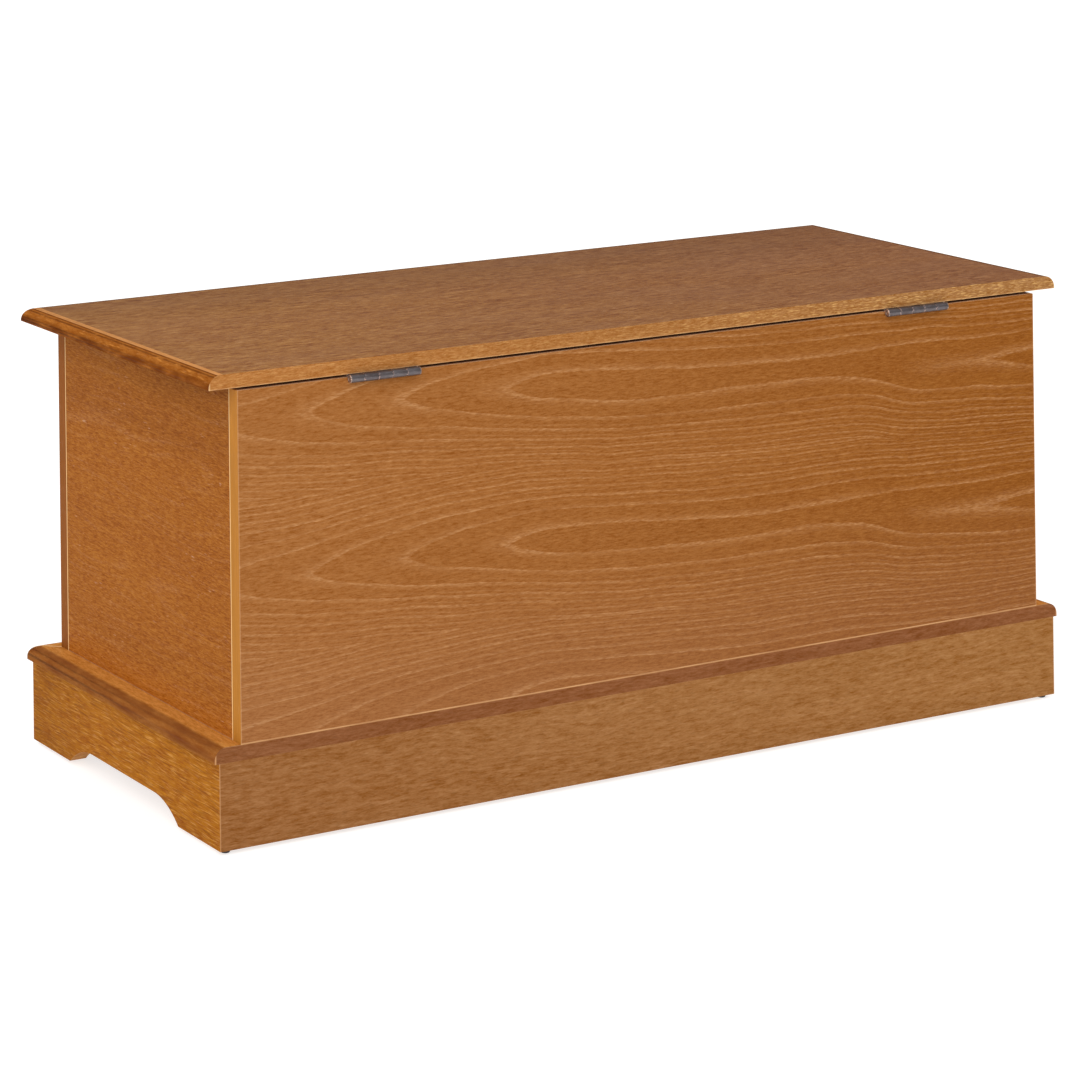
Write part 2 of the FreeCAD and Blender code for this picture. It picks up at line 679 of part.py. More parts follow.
def corner_blocks():
    block = stock_body("corner_block")
    pad_outline(block, ("outline", "wedge"), "XY",
                [(0, 0), (dim.block_leg, 0), (0, dim.block_leg)], dim.block_hgt)
    x = plinth_w / 2 - dim.plinth_t
    front_y, back_y = dim.plinth_t, plinth_d - dim.plinth_t
    z = dim.plinth_hgt - dim.block_hgt
    corners = ((-x, front_y, 0), (x, front_y, 90), (x, back_y, 180), (-x, back_y, 270))
    up = FreeCAD.Vector(0, 0, 1)
    group("plinth_corner_blocks", block,
          [(cx, cy, z, FreeCAD.Rotation(up, turn)) for cx, cy, turn in corners],
          0, y_front_plinth, z_plinth)


def foot_glides():
    """Nail-on glides: a low domed disc and its nail, driven up into a foot."""
    glide = stock_body("glide")
    pad_circle(glide, ("disc_outline", "disc"), "XY", dim.glide_d / 2, dim.glide_hgt)
    fillet(glide, "dome", dim.glide_round, round_edge(dim.glide_d / 2, z=0))
    pad_circle(glide, ("nail_outline", "nail"), "XY", dim.nail_d / 2, dim.nail_len,
               dim.glide_hgt)
    spots = [(sign * (plinth_w / 2 - glide_in), y, 0, FLAT)
             for _, sign in SIDES for y in (glide_in, plinth_d - glide_in)]
    group("foot_glides", glide, spots, 0, y_front_plinth, 0)


plinth_board("plinth_right_board", plinth_w / 2 - dim.plinth_t, y_front_plinth, plinth_d,
             "y", "high")
plinth_board("plinth_left_board", -plinth_w / 2, y_front_plinth, plinth_d, "y", "low")
plinth_board("plinth_front_board", -plinth_w / 2, y_front_plinth, plinth_w, "x", "low")
plinth_board("plinth_back_board", -plinth_w / 2, y_back - dim.plinth_t, plinth_w,
             "x", "high", arched=False)
corner_blocks()
foot_glides()

# ---------------------------------------------------------------- screws
# Cross recess, as parts of the head's radius
RECESS_REACH = 0.55
RECESS_HALF_WIDTH = 0.12
RECESS_DEPTH = 0.4


def screw(name, radius, head_r, length):
    """Countersunk wood screw, point up, the head's face at z = 0."""
    body = stock_body(name)
    profile = new_sketch(body, "profile", "XZ")
    add_outline(profile, [
        (0, 0), (head_r, 0), (head_r, dim.head_rim), (radius, head_r - radius + dim.head_rim),
        (radius, length - 2 * radius), (dim.point_r, length), (0, length)])
    turned = add_part(body, "PartDesign::Revolution", "turned")
    turned.Profile = profile
    turned.ReferenceAxis = (profile, ["V_Axis"])
    turned.Angle = 360
    body.Tip = turned
    doc.recompute()
    far, half = head_r * RECESS_REACH, head_r * RECESS_HALF_WIDTH
    cross = [(-far, -half), (-half, -half), (-half, -far), (half, -far), (half, -half),
             (far, -half), (far, half), (half, half), (half, far), (-half, far),
             (-half, half), (-far, half)]
    cut_outlines(body, ("recess", "recess_cut"), "XY", [cross], head_r * RECESS_DEPTH)
    return body


wood_screw = screw("wood_screw", dim.screw_d / 2, dim.screw_head_d / 2, dim.screw_len)
frame_screw = screw("frame_screw", dim.long_d / 2, dim.long_head_d / 2, dim.long_len)

frame_spots = [(x, y, 0, FLAT) for x in FRAME_SCREW_XS
               for y in (dim.base_over + dim.panel_t / 2, base_d - dim.panel_t / 2)]
frame_spots += [(sign * side_middle_x, dim.base_over + dim.panel_t + y, 0, FLAT)
                for _, sign in SIDES for y in FRAME_SCREW_YS]
group("base_frame_screws", frame_screw, frame_spots, 0, y_front_base, z_frame + dim.long_sink)

# ---------------------------------------------------------------- hinges
# Undersides of the leaf plates, from the pin axis
case_leaf_z = z_case_top - z_axis
lid_leaf_z = z_lid - dim.leaf_t - z_axis


def knuckle_gaps(kept):
    """Outlines that clear the barrel wherever the other leaf's knuckles go."""
    count = int(dim.knuckle_n.number)
    knuckle = dim.hinge_len / dim.knuckle_n
    barrel_r = dim.knuckle_d / 2
    gaps = []
    for k in range(count):
        if k in kept:
            continue
        start = k * knuckle - dim.knuckle_gap if k else -OVERCUT
        end = dim.hinge_len + OVERCUT
        if k < count - 1:
            end = (k + 1) * knuckle + dim.knuckle_gap
        gaps.append(rect(start, -(barrel_r + dim.leaf_relief), end, barrel_r + OVERCUT))
    return gaps


def hinge_leaf(name, x, plate_z, kept, bore_r, sink_z):
    """Butt-hinge leaf: flat plate, its kept knuckles, holes countersunk at sink_z."""
    body = new_body(name, x, y_axis, z_axis)
    pad_circle(body, ("barrel_outline", "barrel"), "YZ", dim.knuckle_d / 2, dim.hinge_len)
    if 0 in kept:
        chamfer(body, "ends", dim.barrel_chamfer, round_edge(dim.knuckle_d / 2))
    pad_outline(body, ("plate_outline", "plate"), "YZ",
                rect(-(axis_out + dim.leaf_in), plate_z, 0, plate_z + dim.leaf_t),
                dim.hinge_len)
    cut_outlines(body, ("knuckle_gaps", "knuckle_cut"), "XY", knuckle_gaps(kept))
    drill(body, ("bore", "bore_cut"), "YZ", [(0, 0)], bore_r)
    drill(body, ("screw_holes", "screw_cut"), "XY",
          [(dim.hinge_len / 2 + k * dim.leaf_screw_pitch, leaf_y) for k in (-1, 0, 1)],
          screw_hole_r)
    chamfer(body, "countersinks", dim.leaf_t - dim.leaf_sink_rim,
            round_edge(screw_hole_r, z=sink_z))


def hinge_pin(name, x):
    body = new_body(name, x + dim.pin_end_gap, y_axis, z_axis)
    pad_circle(body, ("outline", "rod"), "YZ", dim.pin_d / 2,
               dim.hinge_len - 2 * dim.pin_end_gap)
    chamfer(body, "ends", dim.pin_chamfer, round_edge(dim.pin_d / 2))


for side, sign in SIDES:
    hinge_start = sign * dim.hinge_x - dim.hinge_len / 2
    hinge_leaf("%s_hinge_case_leaf" % side, hinge_start, case_leaf_z, (0, 2, 4),
               dim.pin_d / 2 + dim.pin_fit, case_leaf_z + dim.leaf_t)
    hinge_leaf("%s_hinge_lid_leaf" % side, hinge_start, lid_leaf_z, (1, 3),
               dim.pin_d / 2 + dim.pin_run, lid_leaf_z)
    hinge_pin("%s_hinge_pin" % side, hinge_start)

group("hinge_lid_screws", wood_screw,
      [(x, y, lid_leaf_z + dim.head_sink, FLAT) for x, y in leaf_spots], 0, y_axis, z_axis)
group("hinge_case_screws", wood_screw,
      [(x, y, case_leaf_z + dim.leaf_t - dim.head_sink, UPSIDE) for x, y in leaf_spots],
      0, y_axis, z_axis)

# ---------------------------------------------------------------- lid stays
# Each arm turns on a rivet in the lid bracket and slides over a fixed stud.
RIVET_HEAD_RATIO = 0.85                             # head radius over shank diameter
y_rivet, z_rivet = y_axis + rivet_y, z_axis + rivet_z


def stay_arm(side, sign):
    """Drawn along its own length, then leaned to its shut angle."""
    lean = math.degrees(math.atan2((stud_z - rivet_z).number, (stud_y - rivet_y).number))
    body = new_body("%s_stay_arm" % side, sign * arm_x, y_rivet, z_rivet,
                    FreeCAD.Rotation(FreeCAD.Vector(1, 0, 0), lean))
    sketch = new_sketch(body, "outline", "YZ", -dim.stay_t / 2)
    add_slot(sketch, 0, chord_open + dim.slot_w / 2 + dim.stay_past_slot, dim.stay_w / 2)
    pad(body, "strap", sketch, dim.stay_t)
    # slot from just short of the shut position to the open stop
    sketch = new_sketch(body, "slot", "YZ")
    add_slot(sketch, chord_shut - dim.slot_shut_slack, chord_open + dim.slot_open_slack,
             dim.slot_w / 2)
    cut(body, "slot_cut", sketch)
    drill(body, ("eye", "eye_cut"), "YZ", [(0, 0)], dim.rivet_d / 2 + dim.rivet_run)


def stay_lid_bracket(side, sign):
    """A flange under the lid and a tab down beside the arm."""
    x = flange_in if sign > 0 else -(flange_in + dim.flange_w)
    middle = dim.flange_len / 2
    body = new_body("%s_stay_lid_bracket" % side, x, y_rivet - middle, z_lid - dim.stay_t)
    pad_outline(body, ("flange_outline", "flange"), "XY",
                rect(0, 0, dim.flange_w, dim.flange_len), dim.stay_t)
    tab_start = dim.flange_w - dim.stay_t if sign > 0 else 0
    front, rear = middle - dim.tab_w / 2, middle + dim.tab_w / 2
    hole_z = -(dim.stay_drop - dim.stay_t)
    tab_end = hole_z - dim.tab_w / 2 + dim.tab_short
    pad_outline(body, ("tab_outline", "tab"), "YZ",
                [(front, 0), (front, hole_z), (front + dim.tab_corner, tab_end),
                 (rear - dim.tab_corner, tab_end), (rear, hole_z), (rear, 0)],
                dim.stay_t, tab_start)
    drill(body, ("rivet_hole", "rivet_cut"), "YZ", [(middle, hole_z)],
          dim.rivet_d / 2 + dim.rivet_fit, offset=tab_start)
    drill(body, ("screw_holes", "screw_cut"), "XY",
          [(sign * bracket_screw_x - x, middle + k * dim.flange_screw_off) for k in (-1, 1)],
          screw_hole_r)
    chamfer(body, "countersinks", dim.flange_sink, round_edge(screw_hole_r, z=0))


def stay_rivet(side, sign):
    """Through tab and arm, with a flat head on each end."""
    body = new_body("%s_stay_rivet" % side, sign * arm_x, y_rivet, z_rivet)
    tab_reach = dim.stay_t / 2 + dim.tab_gap + dim.stay_t + dim.rivet_tab_slack
    arm_reach = dim.stay_t / 2 + dim.rivet_arm_slack
    low, high = (-tab_reach, arm_reach) if sign > 0 else (-arm_reach, tab_reach)
    pad_circle(body, ("shank_outline", "shank"), "YZ", dim.rivet_d / 2, high - low, low)
    for tag, x, flip in (("low", low, True), ("high", high, False)):
        pad_circle(body, ("head_outline_" + tag, "head_" + tag), "YZ",
                   dim.rivet_d * RIVET_HEAD_RATIO, dim.rivet_head_t, x, flip)


def stay_stud_plate(side, sign):
    """Plate on the inside of the case side, with its headed stud."""
    thick = dim.stud_plate_t
    x = inside_w / 2 - thick if sign > 0 else -inside_w / 2
    body = new_body("%s_stay_stud_plate" % side, x, y_axis + stud_y, z_axis + stud_z)
    half_w, half_len, corner = dim.plate_w / 2, dim.plate_len / 2, dim.plate_corner
    pad_outline(body, ("outline", "plate"), "YZ",
                [(-half_w + corner, -half_len), (half_w - corner, -half_len),
                 (half_w, -half_len + corner), (half_w, half_len - corner),
                 (half_w - corner, half_len), (-half_w + corner, half_len),
                 (-half_w, half_len - corner), (-half_w, -half_len + corner)], thick)
    face = as_size(0) if sign > 0 else thick        # side that looks into the chest
    stud_len = dim.stay_off - thick + dim.stay_t / 2 + dim.stud_slack
    pad_circle(body, ("stud_outline", "stud"), "YZ", dim.stud_d / 2, stud_len,
               face, sign > 0)
    pad_circle(body, ("head_outline", "head"), "YZ", dim.stud_head_d / 2, dim.stud_head_t,
               face - sign * stud_len, sign > 0)
    drill(body, ("screw_holes", "screw_cut"), "YZ",
          [(0, k * dim.plate_screw_off) for k in (-1, 1)], screw_hole_r)
    chamfer(body, "countersinks", thick - dim.plate_sink_rim,
            round_edge(screw_hole_r, x=face))


for side, sign in SIDES:
    stay_arm(side, sign)
    stay_lid_bracket(side, sign)
    stay_rivet(side, sign)
    stay_stud_plate(side, sign)

group("stay_lid_screws", wood_screw,
      [(x, y, z_lid - dim.stay_t - z_axis + dim.head_sink, FLAT) for x, y in bracket_spots],
      0, y_axis, z_axis)
group("stay_case_screws", wood_screw,
      [(sign * (inside_w / 2 - dim.stud_plate_t + dim.head_sink), y, z,
        FreeCAD.Rotation(FreeCAD.Vector(0, 1, 0), sign * 90))
       for _, sign in SIDES for y, z in plate_spots],
      0, y_axis, z_axis)


# ---------------------------------------------------------------- bumpers
def lid_bumpers():
    """Two discs on the top edge of the front panel."""
    bumper = stock_body("bumper")
    pad_circle(bumper, ("outline", "disc"), "XY", dim.bumper_d / 2, dim.bumper_t)
    fillet(bumper, "round", dim.bumper_round, round_edge(dim.bumper_d / 2, z=dim.bumper_t))
    group("lid_bumpers", bumper,
          [(sign * (case_w / 2 - dim.bumper_in), dim.panel_t / 2, 0, FLAT)
           for _, sign in SIDES],
          0, y_front_case, z_case_top)


lid_bumpers()

# ---------------------------------------------------------------- check, write
doc.recompute()
for thing in doc.Objects:
    if "Invalid" in thing.State or "Error" in thing.State:
        raise RuntimeError("%s: %s" % (thing.Label, thing.State))
os.makedirs("parts", exist_ok=True)
for name in sorted(pieces):
    shape = pieces[name].Shape
    if shape.isNull() or not shape.isValid() or not shape.Solids:
        raise RuntimeError("bad shape: %s" % name)
    shape.exportStep("parts/%s.step" % name)
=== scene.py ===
import math

import bmesh
import bpy
from mathutils import Matrix, Vector


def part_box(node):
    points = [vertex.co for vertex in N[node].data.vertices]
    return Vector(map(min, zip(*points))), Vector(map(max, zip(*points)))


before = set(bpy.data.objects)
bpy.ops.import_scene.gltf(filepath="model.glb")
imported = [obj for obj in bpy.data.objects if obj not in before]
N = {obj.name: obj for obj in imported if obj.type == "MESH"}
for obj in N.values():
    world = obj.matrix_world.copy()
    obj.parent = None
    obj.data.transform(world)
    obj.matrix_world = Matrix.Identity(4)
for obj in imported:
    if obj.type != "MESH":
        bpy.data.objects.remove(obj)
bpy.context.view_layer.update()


def span(node):
    """(low, high) corners of a node in millimetres."""
    lo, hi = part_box(node)
    return Vector(lo) * 1000.0, Vector(hi) * 1000.0


# ------------------------------------------------------------------ colours
def lin(c):
    c = c / 255.0
    return c / 12.92 if c <= 0.04045 else ((c + 0.055) / 1.055) ** 2.4


def rgb(r, g, b):
    return (lin(r), lin(g), lin(b), 1.0)


# surface tones, 0-255 per channel
TONE = {
    "lid_top_a": (155.9, 102.1, 48.3),
    "lid_top_b": (135.7, 84.2, 43.1),
    "lid_band_a": (169.8, 110.0, 55.7),
    "lid_band_b": (159.8, 113.4, 67.6),
    "lid_moulding": (155, 90, 32),
    "side": (151.2, 88.0, 28.1),
    "strip_rear": (176.2, 115.8, 44.2),
    "strip_front": (134, 76, 26),
    "back_a": (155.9, 99.1, 50.5),
    "back_b": (138.1, 81.1, 28.2),
    "rail_band": (129.6, 79.3, 45.7),
    "plinth_back_a": (145.1, 95.6, 53.6),
    "plinth_back_b": (150.4, 102.4, 56.1),
    "plinth_side": (159.5, 95.5, 17.0),
    "base_flat": (200, 133, 61),
    "base_round": (116, 61, 26),
}


# ------------------------------------------------------------ node shorthand
class Net:
    """A material's node tree, with short names for the nodes used here."""

    def __init__(self, name):
        self.mat = bpy.data.materials.new(name)
        self.mat.use_nodes = True
        self.t = self.mat.node_tree
        self.t.nodes.clear()
        self._pos = None
        self._nrm = None

    def new(self, kind, **kw):
        n = self.t.nodes.new(kind)
        for k, v in kw.items():
            setattr(n, k, v)
        return n

    def put(self, socket, value):
        if isinstance(value, bpy.types.NodeSocket):
            self.t.links.new(value, socket)
        elif value is not None:
            if hasattr(socket, "default_value"):
                try:
                    socket.default_value = value
                except (TypeError, ValueError):
                    socket.default_value = tuple(value)[: len(socket.default_value)]

    def m(self, op, a, b=None, c=None, clamp=False):
        n = self.new("ShaderNodeMath", operation=op, use_clamp=clamp)
        for i, v in enumerate((a, b, c)):
            if v is not None:
                self.put(n.inputs[i], v)
        return n.outputs[0]

    def add(self, *xs):
        r = xs[0]
        for x in xs[1:]:
            r = self.m("ADD", r, x)
        return r

    def mul(self, *xs):
        r = xs[0]
        for x in xs[1:]:
            r = self.m("MULTIPLY", r, x)
        return r

    def vec(self, x, y, z):
        n = self.new("ShaderNodeCombineXYZ")
        for i, v in enumerate((x, y, z)):
            self.put(n.inputs[i], v)
        return n.outputs[0]

    def pos(self):
        """x, y, z in millimetres, in the row frame at rest."""
        if self._pos is None:
            tc = self.new("ShaderNodeTexCoord")
            sc = self.new("ShaderNodeVectorMath", operation="SCALE")
            self.put(sc.inputs[0], tc.outputs["Object"])
            sc.inputs["Scale"].default_value = 1000.0
            sp = self.new("ShaderNodeSeparateXYZ")
            self.put(sp.inputs[0], sc.outputs[0])
            self._pos = tuple(sp.outputs)
        return self._pos

    def nrm(self):
        """The face's own normal in the piece's frame."""
        if self._nrm is None:
            g = self.new("ShaderNodeNewGeometry")
            vt = self.new("ShaderNodeVectorTransform", vector_type="NORMAL",
                          convert_from="WORLD", convert_to="OBJECT")
            self.put(vt.inputs[0], g.outputs["True Normal"])
            sp = self.new("ShaderNodeSeparateXYZ")
            self.put(sp.inputs[0], vt.outputs[0])
            self._nrm = tuple(sp.outputs)
        return self._nrm

    def noise(self, x, y, z, detail=2.0, rough=0.5, dist=0.0):
        n = self.new("ShaderNodeTexNoise", noise_dimensions="3D")
        self.put(n.inputs["Vector"], self.vec(x, y, z))
        n.inputs["Scale"].default_value = 1.0
        n.inputs["Detail"].default_value = detail
        n.inputs["Roughness"].default_value = rough
        n.inputs["Distortion"].default_value = dist
        return n.outputs[0]

    def swing(self, x, y, z, detail=2.0, rough=0.5):
        """Noise from about -1 to 1."""
        return self.m("MULTIPLY_ADD", self.noise(x, y, z, detail, rough), 4.0, -2.0)

    def step(self, v, a, b, lo=0.0, hi=1.0):
        n = self.new("ShaderNodeMapRange", interpolation_type="SMOOTHSTEP")
        self.put(n.inputs["Value"], v)
        n.inputs["From Min"].default_value = a
        n.inputs["From Max"].default_value = b
        n.inputs["To Min"].default_value = lo
        n.inputs["To Max"].default_value = hi
        return n.outputs[0]

    def line(self, v, at, half, soft=0.35):
        """1 within half of the value at, falling to 0 over soft."""
        d = self.m("ABSOLUTE", self.m("SUBTRACT", v, at))
        return self.step(d, half, half + soft, 1.0, 0.0)

    def curve(self, v, pts):
        n = self.new("ShaderNodeFloatCurve")
        c = n.mapping.curves[0]
        while len(c.points) > 2:
            c.points.remove(c.points[1])
        c.points[0].location = pts[0]
        c.points[1].location = pts[-1]
        for p in pts[1:-1]:
            c.points.new(*p)
        n.mapping.update()
        self.put(n.inputs["Value"], v)
        return n.outputs[0]

    def mix(self, f, a, b, blend="MIX"):
        n = self.new("ShaderNodeMix", data_type="RGBA", blend_type=blend)
        n.clamp_factor = True
        self.put(n.inputs[0], f)
        self.put(n.inputs[6], a)
        self.put(n.inputs[7], b)
        return n.outputs[2]

    def shade(self, col, f):
        """Colour times a value."""
        n = self.new("ShaderNodeVectorMath", operation="SCALE")
        self.put(n.inputs[0], col)
        self.put(n.inputs["Scale"], f)
        return n.outputs[0]

    def vary(self, col, n):
        """Grain: the stained wood changes least in red and most in blue."""
        v = self.vec(*(self.m("MAXIMUM", self.m("MULTIPLY_ADD", n, k, 1.0), 0.25)
                       for k in (0.62, 1.0, 1.75)))
        x = self.new("ShaderNodeVectorMath", operation="MULTIPLY")
        self.put(x.inputs[0], col)
        self.put(x.inputs[1], v)
        return x.outputs[0]

    def finish(self, color, rough, height=None, depth=0.0001, strength=0.5, spec=0.3,
               metallic=0.0, **kw):
        p = self.new("ShaderNodeBsdfPrincipled")
        out = self.new("ShaderNodeOutputMaterial")
        self.put(p.inputs["Base Color"], color)
        self.put(p.inputs["Roughness"], rough)
        self.put(p.inputs["Metallic"], metallic)
        self.put(p.inputs["Specular IOR Level"], spec)
        for k, v in kw.items():
            self.put(p.inputs[k.replace("_", " ")], v)
        if height is not None:
            b = self.new("ShaderNodeBump")
            b.inputs["Strength"].default_value = strength
            b.inputs["Distance"].default_value = depth
            self.put(b.inputs["Height"], height)
            self.put(p.inputs["Normal"], b.outputs[0])
        self.t.links.new(p.outputs[0], out.inputs[0])
        return self.mat


PALE = rgb(204, 156, 112)
CREAM = rgb(236, 196, 140)
DARK = rgb(92, 46, 18)
UMBER = rgb(70, 34, 20)


def grain(net, axis, seed, wave=1.0):
    """(u, v, w): mm along the fibres, across them with a slow wander, and into the board."""
    x, y, z = net.pos()
    u, v, w = {"x": (x, z, y), "y": (y, z, x), "z": (z, x, y)}[axis]
    s = seed * 17.31
    big = net.swing(net.m("MULTIPLY_ADD", u, 1 / 170.0, s), net.m("MULTIPLY", v, 1 / 130.0),
                    net.m("MULTIPLY", w, 1 / 130.0), 1.0)
    small = net.swing(net.m("MULTIPLY_ADD", u, 1 / 42.0, s + 5.1), net.m("MULTIPLY", v, 1 / 48.0),
                      net.m("MULTIPLY", w, 1 / 48.0), 1.0)
    off = net.add(net.mul(big, 3.0 * wave), net.mul(small, 0.9 * wave))
    return u, net.add(v, off), net.add(w, off), s


def fibres(net, u, v, w, s, length, width, detail=1.0, rough=0.5):
    return net.swing(net.m("MULTIPLY_ADD", u, 1.0 / length, s),
                     net.m("MULTIPLY", v, 1.0 / width),
                     net.m("MULTIPLY", w, 1.0 / width), detail, rough)


def wood(name, tone, axis="x", seed=1, broad=0.05, streak=0.05, fibre=0.50, dash=0.16,
         pore=0.30, rough=0.48, spec=0.025, wave=1.0, band=None, ringed=0.0, ring_mm=7.0,
         over=None, bump=0.4, pale=PALE, dash_cut=0.45, size=(18.0, 3.6), under=None):
    """A lacquered veneer. tone is one colour or two blended along X; band adds a
    mask of pale rings; over(net, colour) paints edge strips and joint lines;
    size is the length and width of the coarsest fibres, in mm; under is the share
    of the fine grain that shows on the underside."""
    net = Net(name)
    u, v, w, s = grain(net, axis, seed, wave)
    x, y, z = net.pos()
    if isinstance(tone[0], (tuple, list)):
        n = net.new("ShaderNodeMapRange")
        net.put(n.inputs["Value"], x)
        n.inputs["From Min"].default_value = 480.0
        n.inputs["From Max"].default_value = -480.0
        base = net.mix(n.outputs[0], rgb(*tone[0]), rgb(*tone[1]))
    else:
        base = net.mix(0.0, rgb(*tone), rgb(*tone))
    n_broad = fibres(net, u, v, w, s + 1.7, 420.0, 46.0, 1.5)
    n_streak = fibres(net, u, v, w, s + 3.3, 170.0, 9.0, 2.0, 0.6)
    n_fibre = fibres(net, u, v, w, s + 6.9, size[0], size[1], 3.0, 0.9)
    n_dash = fibres(net, u, v, w, s + 9.2, size[0] * 0.55, size[1] * 0.45, 1.0)
    n_pore = fibres(net, u, v, w, s + 12.4, size[0] * 0.4, size[1] * 0.36, 0.0)
    if under is not None:
        calm = net.step(net.nrm()[2], -0.5, 0.5, under, 1.0)
        fibre, dash, pore = (net.mul(calm, k) for k in (fibre, dash, pore))
    col = net.vary(base, net.add(net.mul(n_broad, broad), net.mul(n_streak, streak),
                                 net.mul(n_fibre, fibre)))
    # slow warm and cool drift of the stain
    drift = fibres(net, u, v, w, s + 21.0, 260.0, 60.0, 1.0)
    col = net.mix(net.m("MULTIPLY_ADD", drift, 0.10, 0.10, clamp=True), col,
                  net.shade(col, 0.86))
    dashes = net.step(n_dash, dash_cut, dash_cut + 0.6)
    bnd = None
    if ringed:
        q = net.add(net.mul(v, 1.0 / ring_mm), net.mul(w, 0.45 / ring_mm),
                    net.mul(fibres(net, u, v, w, s + 31.0, 300.0, 60.0, 1.0), 1.6))
        fr = net.m("FRACT", q)
        ring = net.m("MULTIPLY", net.step(fr, 0.0, 0.30), net.step(fr, 0.34, 0.50, 1.0, 0.0))
        fade = net.step(fibres(net, u, v, w, s + 41.0, 90.0, 14.0, 1.0), -0.5, 0.7)
        bnd = net.mul(ring, ringed, fade)
    if band is not None:
        b2 = band(net)
        bnd = b2 if bnd is None else net.m("MAXIMUM", bnd, b2)
    if bnd is not None:
        broken = net.m("MULTIPLY_ADD", net.step(n_dash, -0.5, 0.6), 0.70, 0.30)
        col = net.mix(net.mul(bnd, broken), col, pale)
        amount = net.m("MULTIPLY_ADD", bnd, dash, net.mul(dash, 0.75))
    else:
        amount = dash
    col = net.mix(net.mul(dashes, amount), col, pale)
    pores = net.step(n_pore, 0.45, 1.1)
    col = net.mix(net.mul(pores, pore), col, net.shade(col, 0.66))
    if over is not None:
        col = over(net, col)
    r = net.add(rough, net.mul(n_fibre, 0.06), net.mul(pores, 0.12), net.mul(n_broad, 0.03))
    h = net.add(net.mul(n_fibre, 0.5), net.mul(n_streak, 0.2), net.mul(pores, -0.7),
                net.mul(dashes, 0.2))
    return net.finish(col, r, h, 0.00012, bump, spec)


# the back panel's cathedral figure, as ring number against place
def cathedral(strength=0.60):
    crest = [(478, 0.4), (414, 1.0), (310, 2.0), (194, 3.0), (120, 3.45), (36, 3.5), (-116, 3.35),
             (-240, 3.4), (-300, 3.8), (-333, 4.0), (-406, 4.1), (-478, 4.3)]
    centre = [(478, 414), (414, 412), (194, 412), (36, 400), (-116, 392), (-240, 390),
              (-330, 379), (-480, 373)]

    def band(net):
        x, y, z = net.pos()
        t = net.m("MULTIPLY_ADD", x, 1 / 1000.0, 0.5)
        s = net.mul(net.curve(t, [((a + 500) / 1000, b / 5.0) for a, b in reversed(crest)]), 5.0)
        c = net.m("MULTIPLY_ADD",
                  net.curve(t, [((a + 500) / 1000, (b - 350) / 100) for a, b in reversed(centre)]),
                  100.0, 350.0)
        wob = net.add(net.mul(net.swing(net.mul(x, 1 / 120.0), net.mul(z, 1 / 60.0), 3.3, 1.0), 2.0),
                      net.mul(net.swing(net.mul(x, 1 / 40.0), net.mul(z, 1 / 22.0), 7.7, 1.0), 0.7))
        v = net.m("SUBTRACT", net.add(z, wob), c)
        p = 154.7
        k = net.m("MULTIPLY_ADD", v, 1 / p, 0.5)
        a = net.m("ABSOLUTE", net.mul(net.m("SUBTRACT", net.m("FRACT", k), 0.5), p))
        g = net.add(net.mul(a, 0.012), net.mul(a, a, 0.00095))
        f = net.m("SUBTRACT", s, g)
        f = net.add(f, net.mul(net.swing(net.mul(x, 1 / 9.0), net.mul(z, 1 / 1.8), 1.1, 1.0), 0.02))
        fr = net.m("FRACT", net.add(f, 20.0))
        # latewood: builds up slowly, then ends sharply against the next flame
        main = net.m("MULTIPLY", net.step(fr, -0.10, 0.11), net.step(fr, 0.115, 0.155, 1.0, 0.0))
        tail = net.mul(net.step(fr, 0.72, 1.0), 0.30)
        f2 = net.m("FRACT", net.add(net.mul(f, 2.0), 20.30))
        minor = net.m("MULTIPLY", net.step(f2, 0.0, 0.16), net.step(f2, 0.20, 0.36, 1.0, 0.0))
        minor = net.mul(minor, net.step(a, 22.0, 50.0))
        vary = net.step(net.swing(net.mul(x, 1 / 110.0), net.mul(z, 1 / 16.0), 9.1, 1.0), -1.1, 0.6, 0.45, 1.0)
        return net.mul(net.add(main, tail, net.mul(minor, 0.5)), strength, vary)
    return band


def arris(net, col, amount=0.25, tone=PALE):
    """Worn arrises: the narrow faces between two main ones are paler."""
    nx, ny, nz = net.nrm()
    big = net.m("MAXIMUM", net.m("MAXIMUM", net.m("ABSOLUTE", nx), net.m("ABSOLUTE", ny)),
                net.m("ABSOLUTE", nz))
    x, y, z = net.pos()
    wear = net.step(net.swing(net.mul(x, 1 / 18.0), net.mul(y, 1 / 18.0), net.mul(z, 1 / 18.0), 2.0),
                    -0.8, 0.9, 0.3, 1.0)
    return net.mix(net.mul(net.step(big, 0.93, 0.985, 1.0, 0.0), amount, wear), col, tone)


def facing(net, axis, sign=0):
    n = net.nrm()["xyz".index(axis)]
    if sign > 0:
        return net.step(n, 0.75, 0.9)
    if sign < 0:
        return net.step(n, -0.75, -0.9)
    return net.step(net.m("ABSOLUTE", n), 0.75, 0.9)


def strip_colour(net, tone, seed, axis="z", dash=0.2):
    """A thin edge strip with its own grain."""
    x, y, z = net.pos()
    u, v, w = {"x": (x, z, y), "y": (y, z, x), "z": (z, x, y)}[axis]
    s = seed * 11.7
    f1 = fibres(net, u, v, w, s, 60.0, 2.2, 2.0, 0.6)
    f2 = fibres(net, u, v, w, s + 4.0, 12.0, 1.1, 1.0)
    c = net.shade(rgb(*tone), net.add(1.0, net.mul(f1, 0.09), net.mul(f2, 0.05)))
    return net.mix(net.mul(net.step(f2, 0.5, 1.1), dash), c, PALE)


